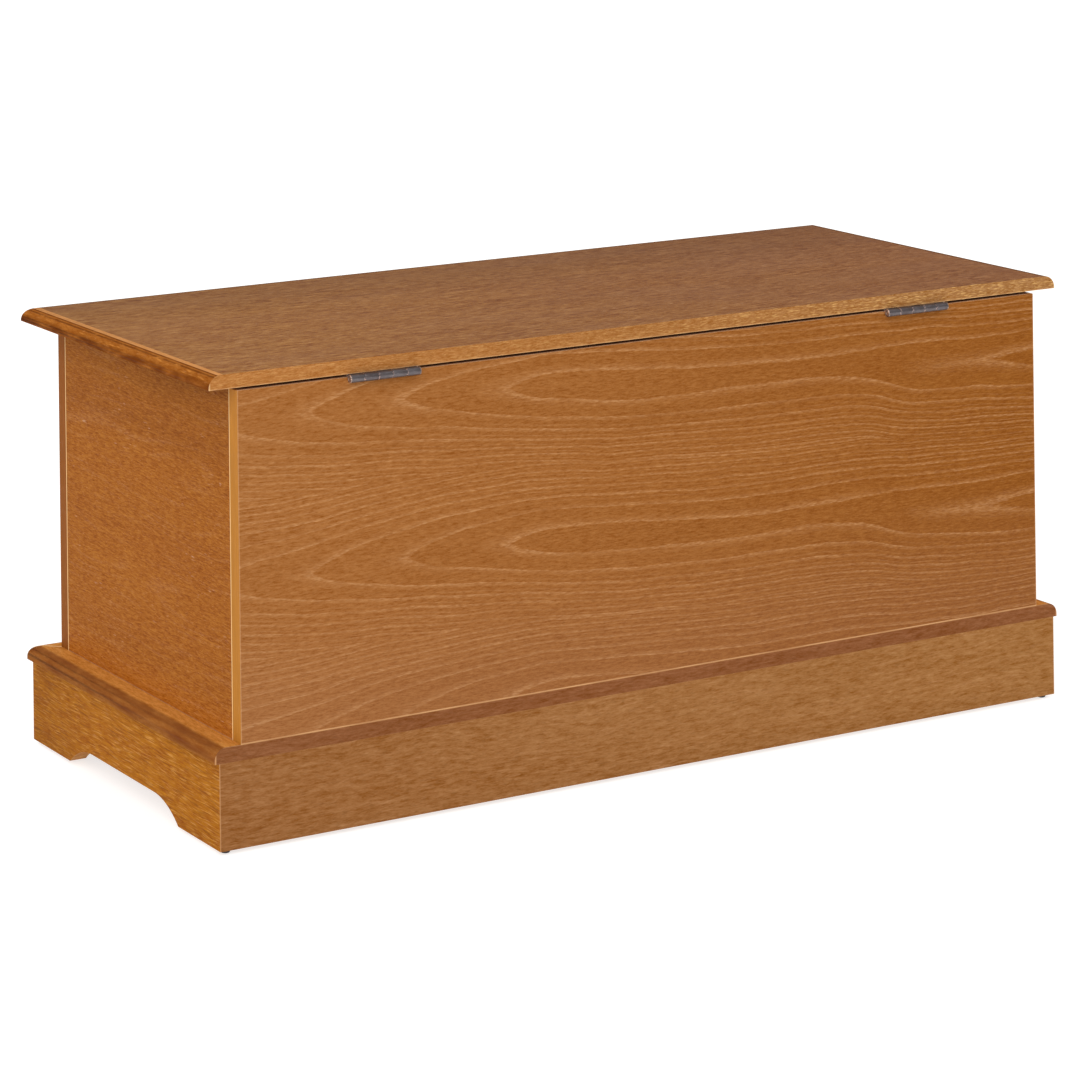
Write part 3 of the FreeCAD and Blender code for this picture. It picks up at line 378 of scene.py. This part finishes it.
# ------------------------------------------------------------ case materials
def paint_back(net, col):
    x, y, z = net.pos()
    end = strip_colour(net, TONE["strip_rear"], 3.0)
    lo, hi = span("case_back_panel")
    # the top edge is a greyer brown, partly its own stain and partly painted shade from under the lid; its
    # outer rim is painted pale, as painted light reaching into the gap under the lid
    top = net.mix(net.step(y, hi.y - 9.0, hi.y - 1.0), strip_colour(net, (168, 126, 98), 4.0, "x"),
                  rgb(222, 178, 138))
    # the strips round the edges, then a pale glue line where panel meets strip
    col = net.mix(facing(net, "x"), col, end)
    col = net.mix(facing(net, "z"), col, top)
    rear = facing(net, "y", 1)
    grey = net.mul(net.step(z, lo.z + 150.0, lo.z, 0.0, 0.14), rear)
    col = net.mix(grey, col, rgb(138, 104, 88))
    seam = net.m("MAXIMUM", net.line(x, hi.x, 0.5, 0.9), net.line(x, lo.x, 0.5, 0.9))
    col = net.mix(net.mul(seam, rear, 0.45), col, PALE)
    foot = net.line(z, lo.z, 0.7, 0.8)
    patch = net.step(net.swing(net.mul(x, 1 / 60.0), 2.2, 5.0, 2.0), -0.9, 0.7, 0.45, 1.0)
    col = net.mix(net.mul(foot, rear, patch, 0.6), col, rgb(226, 178, 128))
    inner = net.mul(net.m("MAXIMUM", net.line(y, lo.y, 0.55, 0.5), 0.0), facing(net, "x"))
    col = net.mix(net.mul(inner, 0.85), col, CREAM)
    return arris(net, col, 0.30)


def paint_front(net, col):
    lo, hi = span("case_front_panel")
    x, y, z = net.pos()
    end = strip_colour(net, TONE["strip_front"], 7.0)
    top = strip_colour(net, TONE["strip_rear"], 8.0, "x")
    col = net.mix(facing(net, "x"), col, end)
    col = net.mix(facing(net, "z"), col, top)
    inner = net.mul(net.line(y, hi.y, 0.55, 0.5), facing(net, "x"))
    col = net.mix(net.mul(inner, 0.85), col, CREAM)
    foot = net.mul(net.line(z, lo.z, 0.6, 0.7), facing(net, "y", -1))
    col = net.mix(net.mul(foot, 0.5), col, CREAM)
    return arris(net, col, 0.30)


def paint_side(node):
    def over(net, col):
        lo, hi = span(node)
        x, y, z = net.pos()
        out = facing(net, "x")
        joint = net.m("MAXIMUM", net.line(y, lo.y, 0.55, 0.45), net.line(y, hi.y, 0.55, 0.45))
        gap = net.step(net.swing(2.0, net.mul(z, 1 / 40.0), 1.0, 2.0), -1.1, 0.3, 0.55, 1.0)
        col = net.mix(net.mul(joint, out, gap, 0.85), col, CREAM)
        top = strip_colour(net, TONE["strip_rear"], 9.0, "y")
        col = net.mix(facing(net, "z"), col, top)
        # painted shade under the lid's overhang: the outer face darkens towards the lid, in a few broad runs
        darkening = net.mul(net.step(z, hi.z - 130.0, hi.z - 10.0), 0.48)
        run = net.step(net.swing(3.0, net.mul(y, 1 / 260.0), net.mul(z, 1 / 24.0), 1.0), -0.9, 0.7, 0.35, 1.0)
        col = net.mix(net.mul(darkening, run, out), col, net.shade(col, 0.62))
        # painted light: the foot of the outer face is lightened, to make up for the shade the base moulding
        # casts there
        foot = net.mul(net.step(z, lo.z + 42.0, lo.z), out)
        col = net.shade(col, net.m("MULTIPLY_ADD", foot, 0.26, 1.0))
        glue = net.mul(net.line(z, lo.z, 0.7, 0.6), out)
        col = net.mix(net.mul(glue, 0.5), col, rgb(176, 138, 104))
        # lacquer flecks along the fibres
        f = net.swing(net.mul(x, 0.02), net.mul(y, 1 / 13.0), net.mul(z, 1 / 1.6), 1.0)
        m = net.swing(net.mul(x, 0.01), net.mul(y, 1 / 90.0), net.mul(z, 1 / 26.0), 1.0)
        fl = net.mul(net.step(f, 0.6, 1.2), net.step(m, 0.15, 0.9), 0.48)
        col = net.mix(fl, col, rgb(206, 170, 140))
        return arris(net, col, 0.25)
    return over


def paint_plain(amount=0.22):
    def over(net, col):
        return arris(net, col, amount)
    return over


def paint_top(net, col):
    x, y, z = net.pos()
    # faint greyish cast of the darker stain, stronger away from the left end
    f = net.step(net.swing(net.mul(x, 1 / 190.0), net.mul(y, 1 / 70.0), 4.0, 2.0), -1.0, 1.2, 0.0, 0.22)
    col = net.mix(f, col, rgb(138, 96, 72))
    # a little darker along the front
    lo, hi = span("lid_panel")
    darkening = net.step(y, lo.y + 240.0, lo.y, 0.0, 0.16)
    return net.shade(col, net.m("SUBTRACT", 1.0, darkening))


def paint_band(net, col):
    x, y, z = net.pos()
    lo, hi = span("lid_rear_edge_band")
    # bright short dashes, thicker towards the right-hand end
    zw = net.add(z, net.mul(net.swing(net.mul(x, 1 / 30.0), 4.0, net.mul(z, 1 / 20.0), 1.0), 0.7))
    d = net.swing(net.mul(x, 1 / 7.0), net.mul(y, 0.1), net.mul(zw, 1 / 0.72), 1.0)
    more = net.step(x, 160.0, -400.0, 0.35, 1.0)
    col = net.mix(net.line(x, 0.0, 120.0, 260.0), col, net.vary(col, -0.10))
    col = net.mix(net.mul(net.step(d, 0.1, 0.8), more, 0.55), col, rgb(232, 184, 116))
    dk = net.swing(net.mul(x, 1 / 8.0), 7.0, net.mul(zw, 1 / 0.72), 1.0)
    col = net.mix(net.mul(net.step(dk, 0.1, 0.8), more, 0.55), col, rgb(122, 72, 30))
    edge = net.m("MAXIMUM", net.line(x, hi.x, 0.8, 0.9), net.line(x, lo.x, 0.8, 0.9))
    col = net.mix(net.mul(edge, 0.6), col, rgb(224, 184, 130))
    # the lower arris is paler, in patches
    low = net.mul(net.line(z, lo.z, 0.5, 0.8), net.step(net.swing(net.mul(x, 1 / 24.0), 2.0, 6.0, 1.0), -1.0, 0.6, 0.4, 1.0))
    col = net.mix(net.mul(low, 0.45), col, rgb(222, 176, 128))
    return col


def paint_lid_moulding(side):
    def over(net, col):
        x, y, z = net.pos()
        lo, hi = span("lid_panel")
        if side == "front":
            out = net.m("MULTIPLY", net.m("SUBTRACT", y, lo.y), -1.0)
            a = x
        else:
            out = net.m("SUBTRACT", net.m("ABSOLUTE", x), hi.x)
            a = y
        # the quirks are painted dark, as darker stain and painted shade in the grooves
        q = net.m("MAXIMUM", net.line(out, 6.4, 0.6, 0.6), net.mul(net.line(out, 9.4, 0.55, 0.6), 0.85))
        thin = net.step(net.swing(net.mul(a, 1 / 35.0), 9.0, 2.0, 2.0), -1.2, 0.3, 0.5, 1.0)
        strip = net.mul(net.step(out, 5.2, 6.2, 1.0, 0.0), 0.72)
        # the flat between the quirks is lighter on the right moulding; on the front and left ones it is
        # painted dark, as darker stain and painted shade along these far edges
        if side == "right":
            col = net.mix(strip, col, net.vary(rgb(216, 151, 90), net.mul(
                net.swing(net.mul(a, 1 / 20.0), net.mul(out, 1 / 1.5), 2.0, 2.0), 0.14)))
        else:
            col = net.mix(strip, col, net.vary(rgb(90, 61, 42), net.mul(
                net.swing(net.mul(a, 1 / 20.0), net.mul(out, 1 / 1.5), 2.0, 2.0), 0.14)))
        col = net.mix(net.mul(q, thin, 0.62), col, rgb(92, 44, 14))
        # painted shade on the underside of the round, as a darker, redder brown in patches
        zz = net.step(z, 454.5, 448.5)
        pt = net.step(net.swing(net.mul(a, 1 / 40.0), 3.0, net.mul(z, 1 / 9.0), 2.0), -0.8, 0.6, 0.25, 1.0)
        col = net.mix(net.mul(zz, pt, 0.9), col, rgb(98, 45, 9))
        # warm glints along the crown
        gl = net.mul(net.line(z, 454.5, 1.4, 2.2),
                     net.step(net.swing(net.mul(a, 1 / 22.0), 8.0, net.mul(z, 1 / 2.0), 2.0), 0.1, 1.0))
        return net.mix(net.mul(gl, 0.55), col, rgb(222, 146, 66))
    return over


def a_of(net, side):
    """The run of a front or end moulding."""
    x, y, z = net.pos()
    return x if side == "front" else y


def paint_base_moulding(side):
    def over(net, col):
        x, y, z = net.pos()
        lo, hi = span("base_%s_moulding" % side)
        n = net.nrm()
        if side == "front":
            away = net.m("SUBTRACT", span("case_front_panel")[0].y, y)
        else:
            away = net.m("SUBTRACT", net.m("ABSOLUTE", x), span("case_back_panel")[1].x)
        ragged = net.swing(net.mul(a_of(net, side), 1 / 30.0), 4.0, 1.0, 2.0)
        flat = net.mul(net.step(net.add(away, ragged), 14.5, 19.5, 1.0, 0.0),
                       net.step(n[2], 0.40, 0.85))
        a = x if side == "front" else y
        # painted shade: the round is painted a darker reddish brown than the flat top, mottled along its run
        dark = net.shade(col, 1.0)
        mott = net.swing(net.mul(a, 1 / 60.0), 1.0, net.mul(z, 1 / 6.0), 2.0)
        dark = net.mix(net.m("MULTIPLY_ADD", mott, 0.18, 0.82, clamp=True), col,
                       rgb(*TONE["base_round"]))
        fb = net.swing(net.mul(a, 1 / 14.0), 5.0, net.mul(z, 1 / 1.2), 1.0)
        dark = net.shade(dark, net.m("MULTIPLY_ADD", fb, 0.06, 1.0))
        # painted shade: the lower, downward-facing half of the round is a little darker
        dark = net.shade(dark, net.step(n[2], 0.30, -0.35, 1.0, 0.74))
        low = net.step(z, lo.z + 3.5, lo.z + 0.5, 0.0, 0.20)
        col = net.mix(flat, net.mix(low, dark, net.shade(col, 0.82)), col)
        corner = span("base_front_moulding")
        mit = net.m("SUBTRACT", net.m("ABSOLUTE", x),
                    net.m("MULTIPLY_ADD", y, -1.0, corner[1].x + corner[0].y))
        col = net.mix(net.mul(net.line(mit, 0.0, 0.7, 0.8), net.step(n[2], 0.7, 0.9), 0.85),
                      col, rgb(240, 208, 160))
        return col
    return over


def paint_rail_band(net, col):
    x, y, z = net.pos()
    lo, hi = span("base_rear_edge_band")
    edge = net.m("MAXIMUM", net.line(x, hi.x, 0.9, 0.8), net.line(x, lo.x, 0.9, 0.8))
    edge = net.m("MAXIMUM", edge, net.mul(net.line(z, hi.z, 0.25, 0.5), 0.55))
    return net.mix(net.mul(edge, 0.6), col, rgb(214, 160, 108))


def paint_plinth(node, side):
    def over(net, col):
        x, y, z = net.pos()
        lo, hi = span(node)
        if side:
            # bold wavy figure on the ends
            wv = net.swing(net.mul(y, 1 / 70.0), net.mul(z, 1 / 40.0), 6.0, 1.0)
            zz = net.add(z, net.mul(wv, 2.0))
            st = net.swing(net.mul(y, 1 / 26.0), net.mul(zz, 1 / 1.25), 2.0, 2.0, 0.6)
            dk = net.swing(net.mul(y, 1 / 40.0), net.mul(zz, 1 / 1.8), 9.0, 2.0, 0.6)
            col = net.mix(net.mul(net.step(st, 0.05, 0.8), 0.50), col, rgb(214, 160, 84))
            col = net.mix(net.mul(net.step(dk, 0.05, 0.7), 0.50), col, rgb(106, 58, 18))
            near = net.step(y, lo.y + 190.0, lo.y, 0.0, 0.75)
            col = net.mix(near, col, net.vary(net.shade(col, 0.82), -0.10))
            c1 = net.mul(facing(net, "x"), net.line(y, hi.y, 0.4, 0.6))
            col = net.mix(net.mul(c1, 0.5), col, PALE)
        else:
            c1 = net.m("MAXIMUM", net.line(x, hi.x, 0.5, 0.7), net.line(x, lo.x, 0.5, 0.7))
            c1 = net.mul(c1, facing(net, "y"))
            col = net.mix(net.mul(c1, 0.4), col, PALE)
        low = net.step(z, lo.z + 26.0, lo.z, 0.0, 0.16)
        col = net.mix(low, col, net.shade(col, 0.72))
        return arris(net, col, 0.35, rgb(214, 172, 122))
    return over


# ----------------------------------------------------------------- metal etc
def steel(name, tone, seed, rough=0.36, axis="x", tint=None, brushed=0.12, over=None):
    net = Net(name)
    x, y, z = net.pos()
    u, v, w = {"x": (x, y, z), "y": (y, z, x), "z": (z, x, y)}[axis]
    s = seed * 5.3
    br = fibres(net, u, v, w, s, 9.0, 0.35, 2.0, 0.6)
    pit = net.swing(net.mul(x, 1 / 2.6), net.mul(y, 1 / 2.6), net.mul(z, 1 / 2.6), 3.0, 0.6)
    blot = net.swing(net.m("MULTIPLY_ADD", x, 1 / 14.0, s), net.mul(y, 1 / 14.0), net.mul(z, 1 / 14.0), 2.0)
    col = net.shade(rgb(*tone), net.add(1.0, net.mul(br, brushed), net.mul(pit, 0.07)))
    if tint is not None:
        col = net.mix(net.step(blot, -0.6, 1.0, 0.1, 0.75), col, rgb(*tint))
    if over is not None:
        col = over(net, col)
    r = net.add(rough, net.mul(br, 0.06), net.mul(blot, 0.05))
    return net.finish(col, r, net.add(br, net.mul(pit, 0.6)), 0.00003, 0.35, 0.5, 0.85)


def plastic(name, tone, rough, seed, clear=False):
    net = Net(name)
    x, y, z = net.pos()
    n1 = net.swing(net.m("MULTIPLY_ADD", x, 1 / 1.1, seed), net.mul(y, 1 / 1.1), net.mul(z, 1 / 1.1), 3.0, 0.6)
    n2 = net.swing(net.mul(x, 1 / 5.0), net.mul(y, 1 / 5.0), net.mul(z, 1 / 5.0), 2.0)
    dust = net.mul(net.step(n2, 0.1, 1.2), 0.25)
    col = net.mix(dust, net.shade(rgb(*tone), net.m("MULTIPLY_ADD", n1, 0.12, 1.0)), rgb(150, 140, 130))
    kw = {}
    if clear:
        kw = {"Transmission_Weight": 0.55, "Alpha": 1.0}
    return net.finish(col, net.m("MULTIPLY_ADD", n1, 0.06, rough), n1, 0.00005, 0.3, 0.45, 0.0, **kw)


def paint_hinge(net, col):
    """Bright spots where the knuckles meet, and painted highlights as bright rims at the barrel's ends."""
    x, y, z = net.pos()
    lo, hi = span("right_hinge_pin")
    mid, half = (lo.x + hi.x) / 2, (hi.x - lo.x) / 2
    along = net.m("SUBTRACT", net.m("ABSOLUTE", x), mid)
    step = 2 * half / 5.0
    k = net.m("FRACT", net.m("MULTIPLY_ADD", along, 1.0 / step, 10.5))
    d = net.mul(net.m("ABSOLUTE", net.m("SUBTRACT", k, 0.5)), step)
    near = net.step(net.m("SUBTRACT", step / 2, d), 0.3, 1.5, 1.0, 0.0)
    spot = net.swing(net.mul(x, 1 / 1.3), net.mul(y, 1 / 1.6), net.mul(z, 1 / 1.6), 1.0)
    col = net.mix(net.mul(near, net.step(spot, 0.0, 0.5), 0.9), col, rgb(206, 176, 168))
    # painted highlights on the barrel's rounded ends
    rim = net.line(net.m("ABSOLUTE", along), half, 0.5, 0.7)
    col = net.mix(net.mul(rim, net.step(spot, -0.9, 0.4), 0.75), col, rgb(214, 182, 160))
    scratch = net.swing(net.mul(x, 1 / 6.0), net.mul(y, 1 / 0.9), net.mul(z, 1 / 0.9), 1.0)
    return net.mix(net.mul(net.step(scratch, 0.4, 1.0), 0.45), col, rgb(150, 140, 146))


# ------------------------------------------------------------ assign to nodes
def dress(node, mat, bevel=None, segments=2, weld=True, angle=35.0):
    o = N[node]
    if len(o.data.materials):
        for i in range(len(o.data.materials)):
            o.data.materials[i] = mat
    else:
        o.data.materials.append(mat)
    if weld:
        m = o.modifiers.new("weld", "WELD")
        m.merge_threshold = 0.00001
    if bevel:
        d = o.modifiers.new("flat", "DECIMATE")
        d.decimate_type = "DISSOLVE"
        d.angle_limit = math.radians(0.4)
        b = o.modifiers.new("arris", "BEVEL")
        b.width = bevel / 1000.0
        b.segments = segments
        b.limit_method = "ANGLE"
        b.angle_limit = math.radians(angle)
        b.harden_normals = True
        b.use_clamp_overlap = True


T = TONE
dress("case_back_panel", wood("w_back", (T["back_a"], T["back_b"]), "x", 1, broad=0.05, streak=0.05,
      dash=0.14, wave=0.25, fibre=0.50, size=(11.0, 2.1), pale=rgb(202, 152, 104), band=cathedral(0.52), over=paint_back), 0.5)
dress("case_front_panel", wood("w_front", (T["back_b"], T["back_a"]), "x", 2, broad=0.05, streak=0.05,
      dash=0.14, wave=0.25, fibre=0.50, size=(11.0, 2.1), pale=rgb(202, 152, 104), band=cathedral(0.48), over=paint_front), 0.5)
for sd, seed in (("left", 3), ("right", 4)):
    n = "case_%s_panel" % sd
    dress(n, wood("w_side_" + sd, T["side"], "y", seed, broad=0.10, streak=0.05, wave=0.3,
                  fibre=0.82, size=(12.0, 1.55), dash=0.30, pore=0.22, ringed=0.12, ring_mm=13.0,
                  spec=0.015, over=paint_side(n)), 0.5)
dress("case_bottom_panel", wood("w_bottom", T["side"], "x", 5, over=paint_plain()), 0.4)

dress("lid_panel", wood("w_lid_top", (T["lid_top_a"], T["lid_top_b"]), "x", 6, broad=0.10,
      streak=0.11, fibre=1.1, size=(19.0, 3.0), dash=0.46, pore=0.28, under=0.45, rough=0.5, spec=0.06,
      over=paint_top), 0.25)
for sd, ax, seed in (("front", "x", 7), ("left", "y", 8), ("right", "y", 9)):
    dress("lid_%s_moulding" % sd, wood("w_lid_m_" + sd, T["lid_moulding"], ax, seed, broad=0.1,
          streak=0.1, dash=0.15, over=paint_lid_moulding(sd), rough=0.44, spec=0.004))
dress("lid_rear_edge_band", wood("w_lid_band", (T["lid_band_a"], T["lid_band_b"]), "x", 10,
      broad=0.06, fibre=0.55, dash=0.2, size=(9.0, 2.0), over=paint_band))

for sd, ax, seed in (("front", "x", 11), ("left", "y", 12), ("right", "y", 13)):
    dress("base_%s_moulding" % sd, wood("w_base_m_" + sd, T["base_flat"], ax, seed, broad=0.08,
          streak=0.08, dash=0.12, over=paint_base_moulding(sd), rough=0.44, spec=0.004))
dress("base_back_rail", wood("w_base_rail", T["base_flat"], "x", 14, over=paint_plain()), 0.3)
dress("base_rear_edge_band", wood("w_rail_band", T["rail_band"], "x", 15, broad=0.08, streak=0.06,
      dash=0.06, over=paint_rail_band))

dress("plinth_back_board", wood("w_plinth_back", (T["plinth_back_a"], T["plinth_back_b"]), "x", 16,
      broad=0.08, streak=0.06, dash=0.2, ringed=0.14, ring_mm=9.0,
      over=paint_plinth("plinth_back_board", False)), 0.5)
dress("plinth_front_board", wood("w_plinth_front", (T["plinth_back_b"], T["plinth_back_a"]), "x", 17,
      broad=0.08, streak=0.06, dash=0.2, ringed=0.2, ring_mm=9.0,
      over=paint_plinth("plinth_front_board", False)), 0.5)
for sd, seed in (("left", 18), ("right", 19)):
    n = "plinth_%s_board" % sd
    dress(n, wood("w_plinth_" + sd, T["plinth_side"], "y", seed, broad=0.08, streak=0.08,
                  dash=0.18, fibre=0.6, size=(26.0, 2.6), spec=0.015, over=paint_plinth(n, True)), 0.5)
dress("plinth_corner_blocks", wood("w_blocks", (196, 152, 98), "z", 20, over=paint_plain(), rough=0.6), 0.4)
dress("case_dowels", wood("w_dowels", (206, 168, 118), "z", 21, rough=0.6))

for sd in ("left", "right"):
    k = 1 if sd == "left" else 2
    hinge = steel("m_hinge_" + sd, (112, 106, 108), 1.0 + k, 0.42, "x", (86, 74, 74),
                  over=paint_hinge)
    for part in ("case_leaf", "lid_leaf"):
        dress("%s_hinge_%s" % (sd, part), hinge, 0.3)
    dress("%s_hinge_pin" % sd, steel("m_pin_" + sd, (168, 160, 156), 4.0 + k, 0.32, "x"))
    stay = steel("m_stay_" + sd, (176, 172, 166), 7.0 + k, 0.34, "y", (150, 142, 132))
    for part in ("arm", "lid_bracket", "rivet", "stud_plate"):
        dress("%s_stay_%s" % (sd, part), stay)
for n in ("hinge_case_screws", "hinge_lid_screws", "stay_case_screws", "stay_lid_screws",
          "base_frame_screws"):
    dress(n, steel("m_" + n, (160, 152, 142), 12.0, 0.36, "z", (128, 112, 96)))
dress("foot_glides", plastic("p_glides", (34, 24, 30), 0.42, 1.0))
dress("lid_bumpers", plastic("p_bumpers", (214, 208, 196), 0.5, 2.0, clear=True))

# ------------------------------------------------------------------- staging
bm = bmesh.new()
bmesh.ops.create_circle(bm, cap_ends=True, segments=96, radius=60.0)
me = bpy.data.meshes.new("floor")
bm.to_mesh(me)
bm.free()
floor = bpy.data.objects.new("floor", me)
bpy.context.scene.collection.objects.link(floor)
net = Net("floor")
x, y, z = net.pos()
mott = net.swing(net.mul(x, 1 / 900.0), net.mul(y, 1 / 900.0), 0.0, 2.0)
p = net.new("ShaderNodeBsdfPrincipled")
net.put(p.inputs["Base Color"], net.shade((0.46, 0.46, 0.456, 1.0), net.m("MULTIPLY_ADD", mott, 0.004, 1.0)))
p.inputs["Roughness"].default_value = 0.9
p.inputs["Specular IOR Level"].default_value = 0.0
p.inputs["Emission Color"].default_value = (1.0, 1.0, 0.995, 1.0)
p.inputs["Emission Strength"].default_value = 0.72
out = net.new("ShaderNodeOutputMaterial")
net.t.links.new(p.outputs[0], out.inputs[0])
me.materials.append(net.mat)

world = bpy.data.worlds.new("studio")
bpy.context.scene.world = world
world.use_nodes = True
wt = world.node_tree
wt.nodes.clear()
geo = wt.nodes.new("ShaderNodeTexCoord")
sep = wt.nodes.new("ShaderNodeSeparateXYZ")
wt.links.new(geo.outputs["Generated"], sep.inputs[0])
mr = wt.nodes.new("ShaderNodeMapRange")
mr.interpolation_type = "SMOOTHSTEP"
mr.inputs["From Min"].default_value = 0.0
mr.inputs["From Max"].default_value = 0.9
mr.inputs["To Min"].default_value = 0.22
mr.inputs["To Max"].default_value = 0.62
wt.links.new(sep.outputs[2], mr.inputs["Value"])
lp = wt.nodes.new("ShaderNodeLightPath")
soft = wt.nodes.new("ShaderNodeBackground")
wt.links.new(mr.outputs[0], soft.inputs["Strength"])
soft.inputs["Color"].default_value = (1.0, 0.995, 0.985, 1.0)
seen = wt.nodes.new("ShaderNodeBackground")
seen.inputs["Color"].default_value = (1.0, 1.0, 0.998, 1.0)
seen.inputs["Strength"].default_value = 1.0
mixw = wt.nodes.new("ShaderNodeMixShader")
wt.links.new(lp.outputs["Is Camera Ray"], mixw.inputs[0])
wt.links.new(soft.outputs[0], mixw.inputs[1])
wt.links.new(seen.outputs[0], mixw.inputs[2])
wo = wt.nodes.new("ShaderNodeOutputWorld")
wt.links.new(mixw.outputs[0], wo.inputs[0])


def sun(name, toward, strength, angle, colour=(1, 1, 1), sheen=True):
    """toward: the direction the light comes from."""
    d = bpy.data.lights.new(name, "SUN")
    d.energy = strength
    d.angle = math.radians(angle)
    d.color = colour
    o = bpy.data.objects.new(name, d)
    o.rotation_mode = "QUATERNION"
    o.rotation_quaternion = Vector(toward).to_track_quat("Z", "Y")
    bpy.context.scene.collection.objects.link(o)
    o.visible_glossy = sheen


sun("key", (0.75, 0.85, 0.72), 1.75, 55, (1.0, 0.985, 0.96))
sun("fill_front", (-0.5, -1.0, 0.55), 0.75, 70, sheen=False)
sun("fill_left", (-1.0, 0.25, 0.50), 0.65, 70, sheen=False)
sun("fill_right", (1.0, -0.35, 0.45), 0.45, 70, sheen=False)

# -------------------------------------------------------------------- camera
YAW, ROLL = math.radians(149.1978), math.radians(-0.6624)
CAM = Vector((2.08345, 3.52780, 1.15559))
SHIFT_X, SHIFT_Y = -0.01456, -0.8331
cd = bpy.data.cameras.new("camera")
cd.sensor_width = 36.0
cd.lens = 127.58
cam = bpy.data.objects.new("camera", cd)
bpy.context.scene.collection.objects.link(cam)
fwd = Vector((-math.sin(YAW), math.cos(YAW), 0.0))
right = fwd.cross(Vector((0, 0, 1)))
r2 = math.cos(ROLL) * right + math.sin(ROLL) * Vector((0, 0, 1))
u2 = -math.sin(ROLL) * right + math.cos(ROLL) * Vector((0, 0, 1))
rot = Matrix((r2, u2, -fwd)).transposed()
cam.rotation_mode = "QUATERNION"
cam.rotation_quaternion = rot.to_quaternion()
cam.location = CAM
cd.clip_start, cd.clip_end = 0.05, 200.0
bpy.context.scene.camera = cam
# the lens shift applies at this viewpoint only, so that other views stay centred
for path, value in (("shift_x", SHIFT_X), ("shift_y", SHIFT_Y)):
    drv = cd.driver_add(path).driver
    drv.type = "SCRIPTED"
    for axis in "xyz":
        var = drv.variables.new()
        var.name = "c" + axis
        var.type = "TRANSFORMS"
        var.targets[0].id = cam
        var.targets[0].transform_type = "LOC_" + axis.upper()
        var.targets[0].transform_space = "WORLD_SPACE"
    drv.expression = "%.5f if abs(cx - %.5f) + abs(cy - %.5f) + abs(cz - %.5f) < 0.001 else 0.0" % (
        value, CAM.x, CAM.y, CAM.z)

bpy.context.scene.view_settings.view_transform = "Standard"
bpy.context.scene.view_settings.look = "None"
bpy.context.view_layer.update()
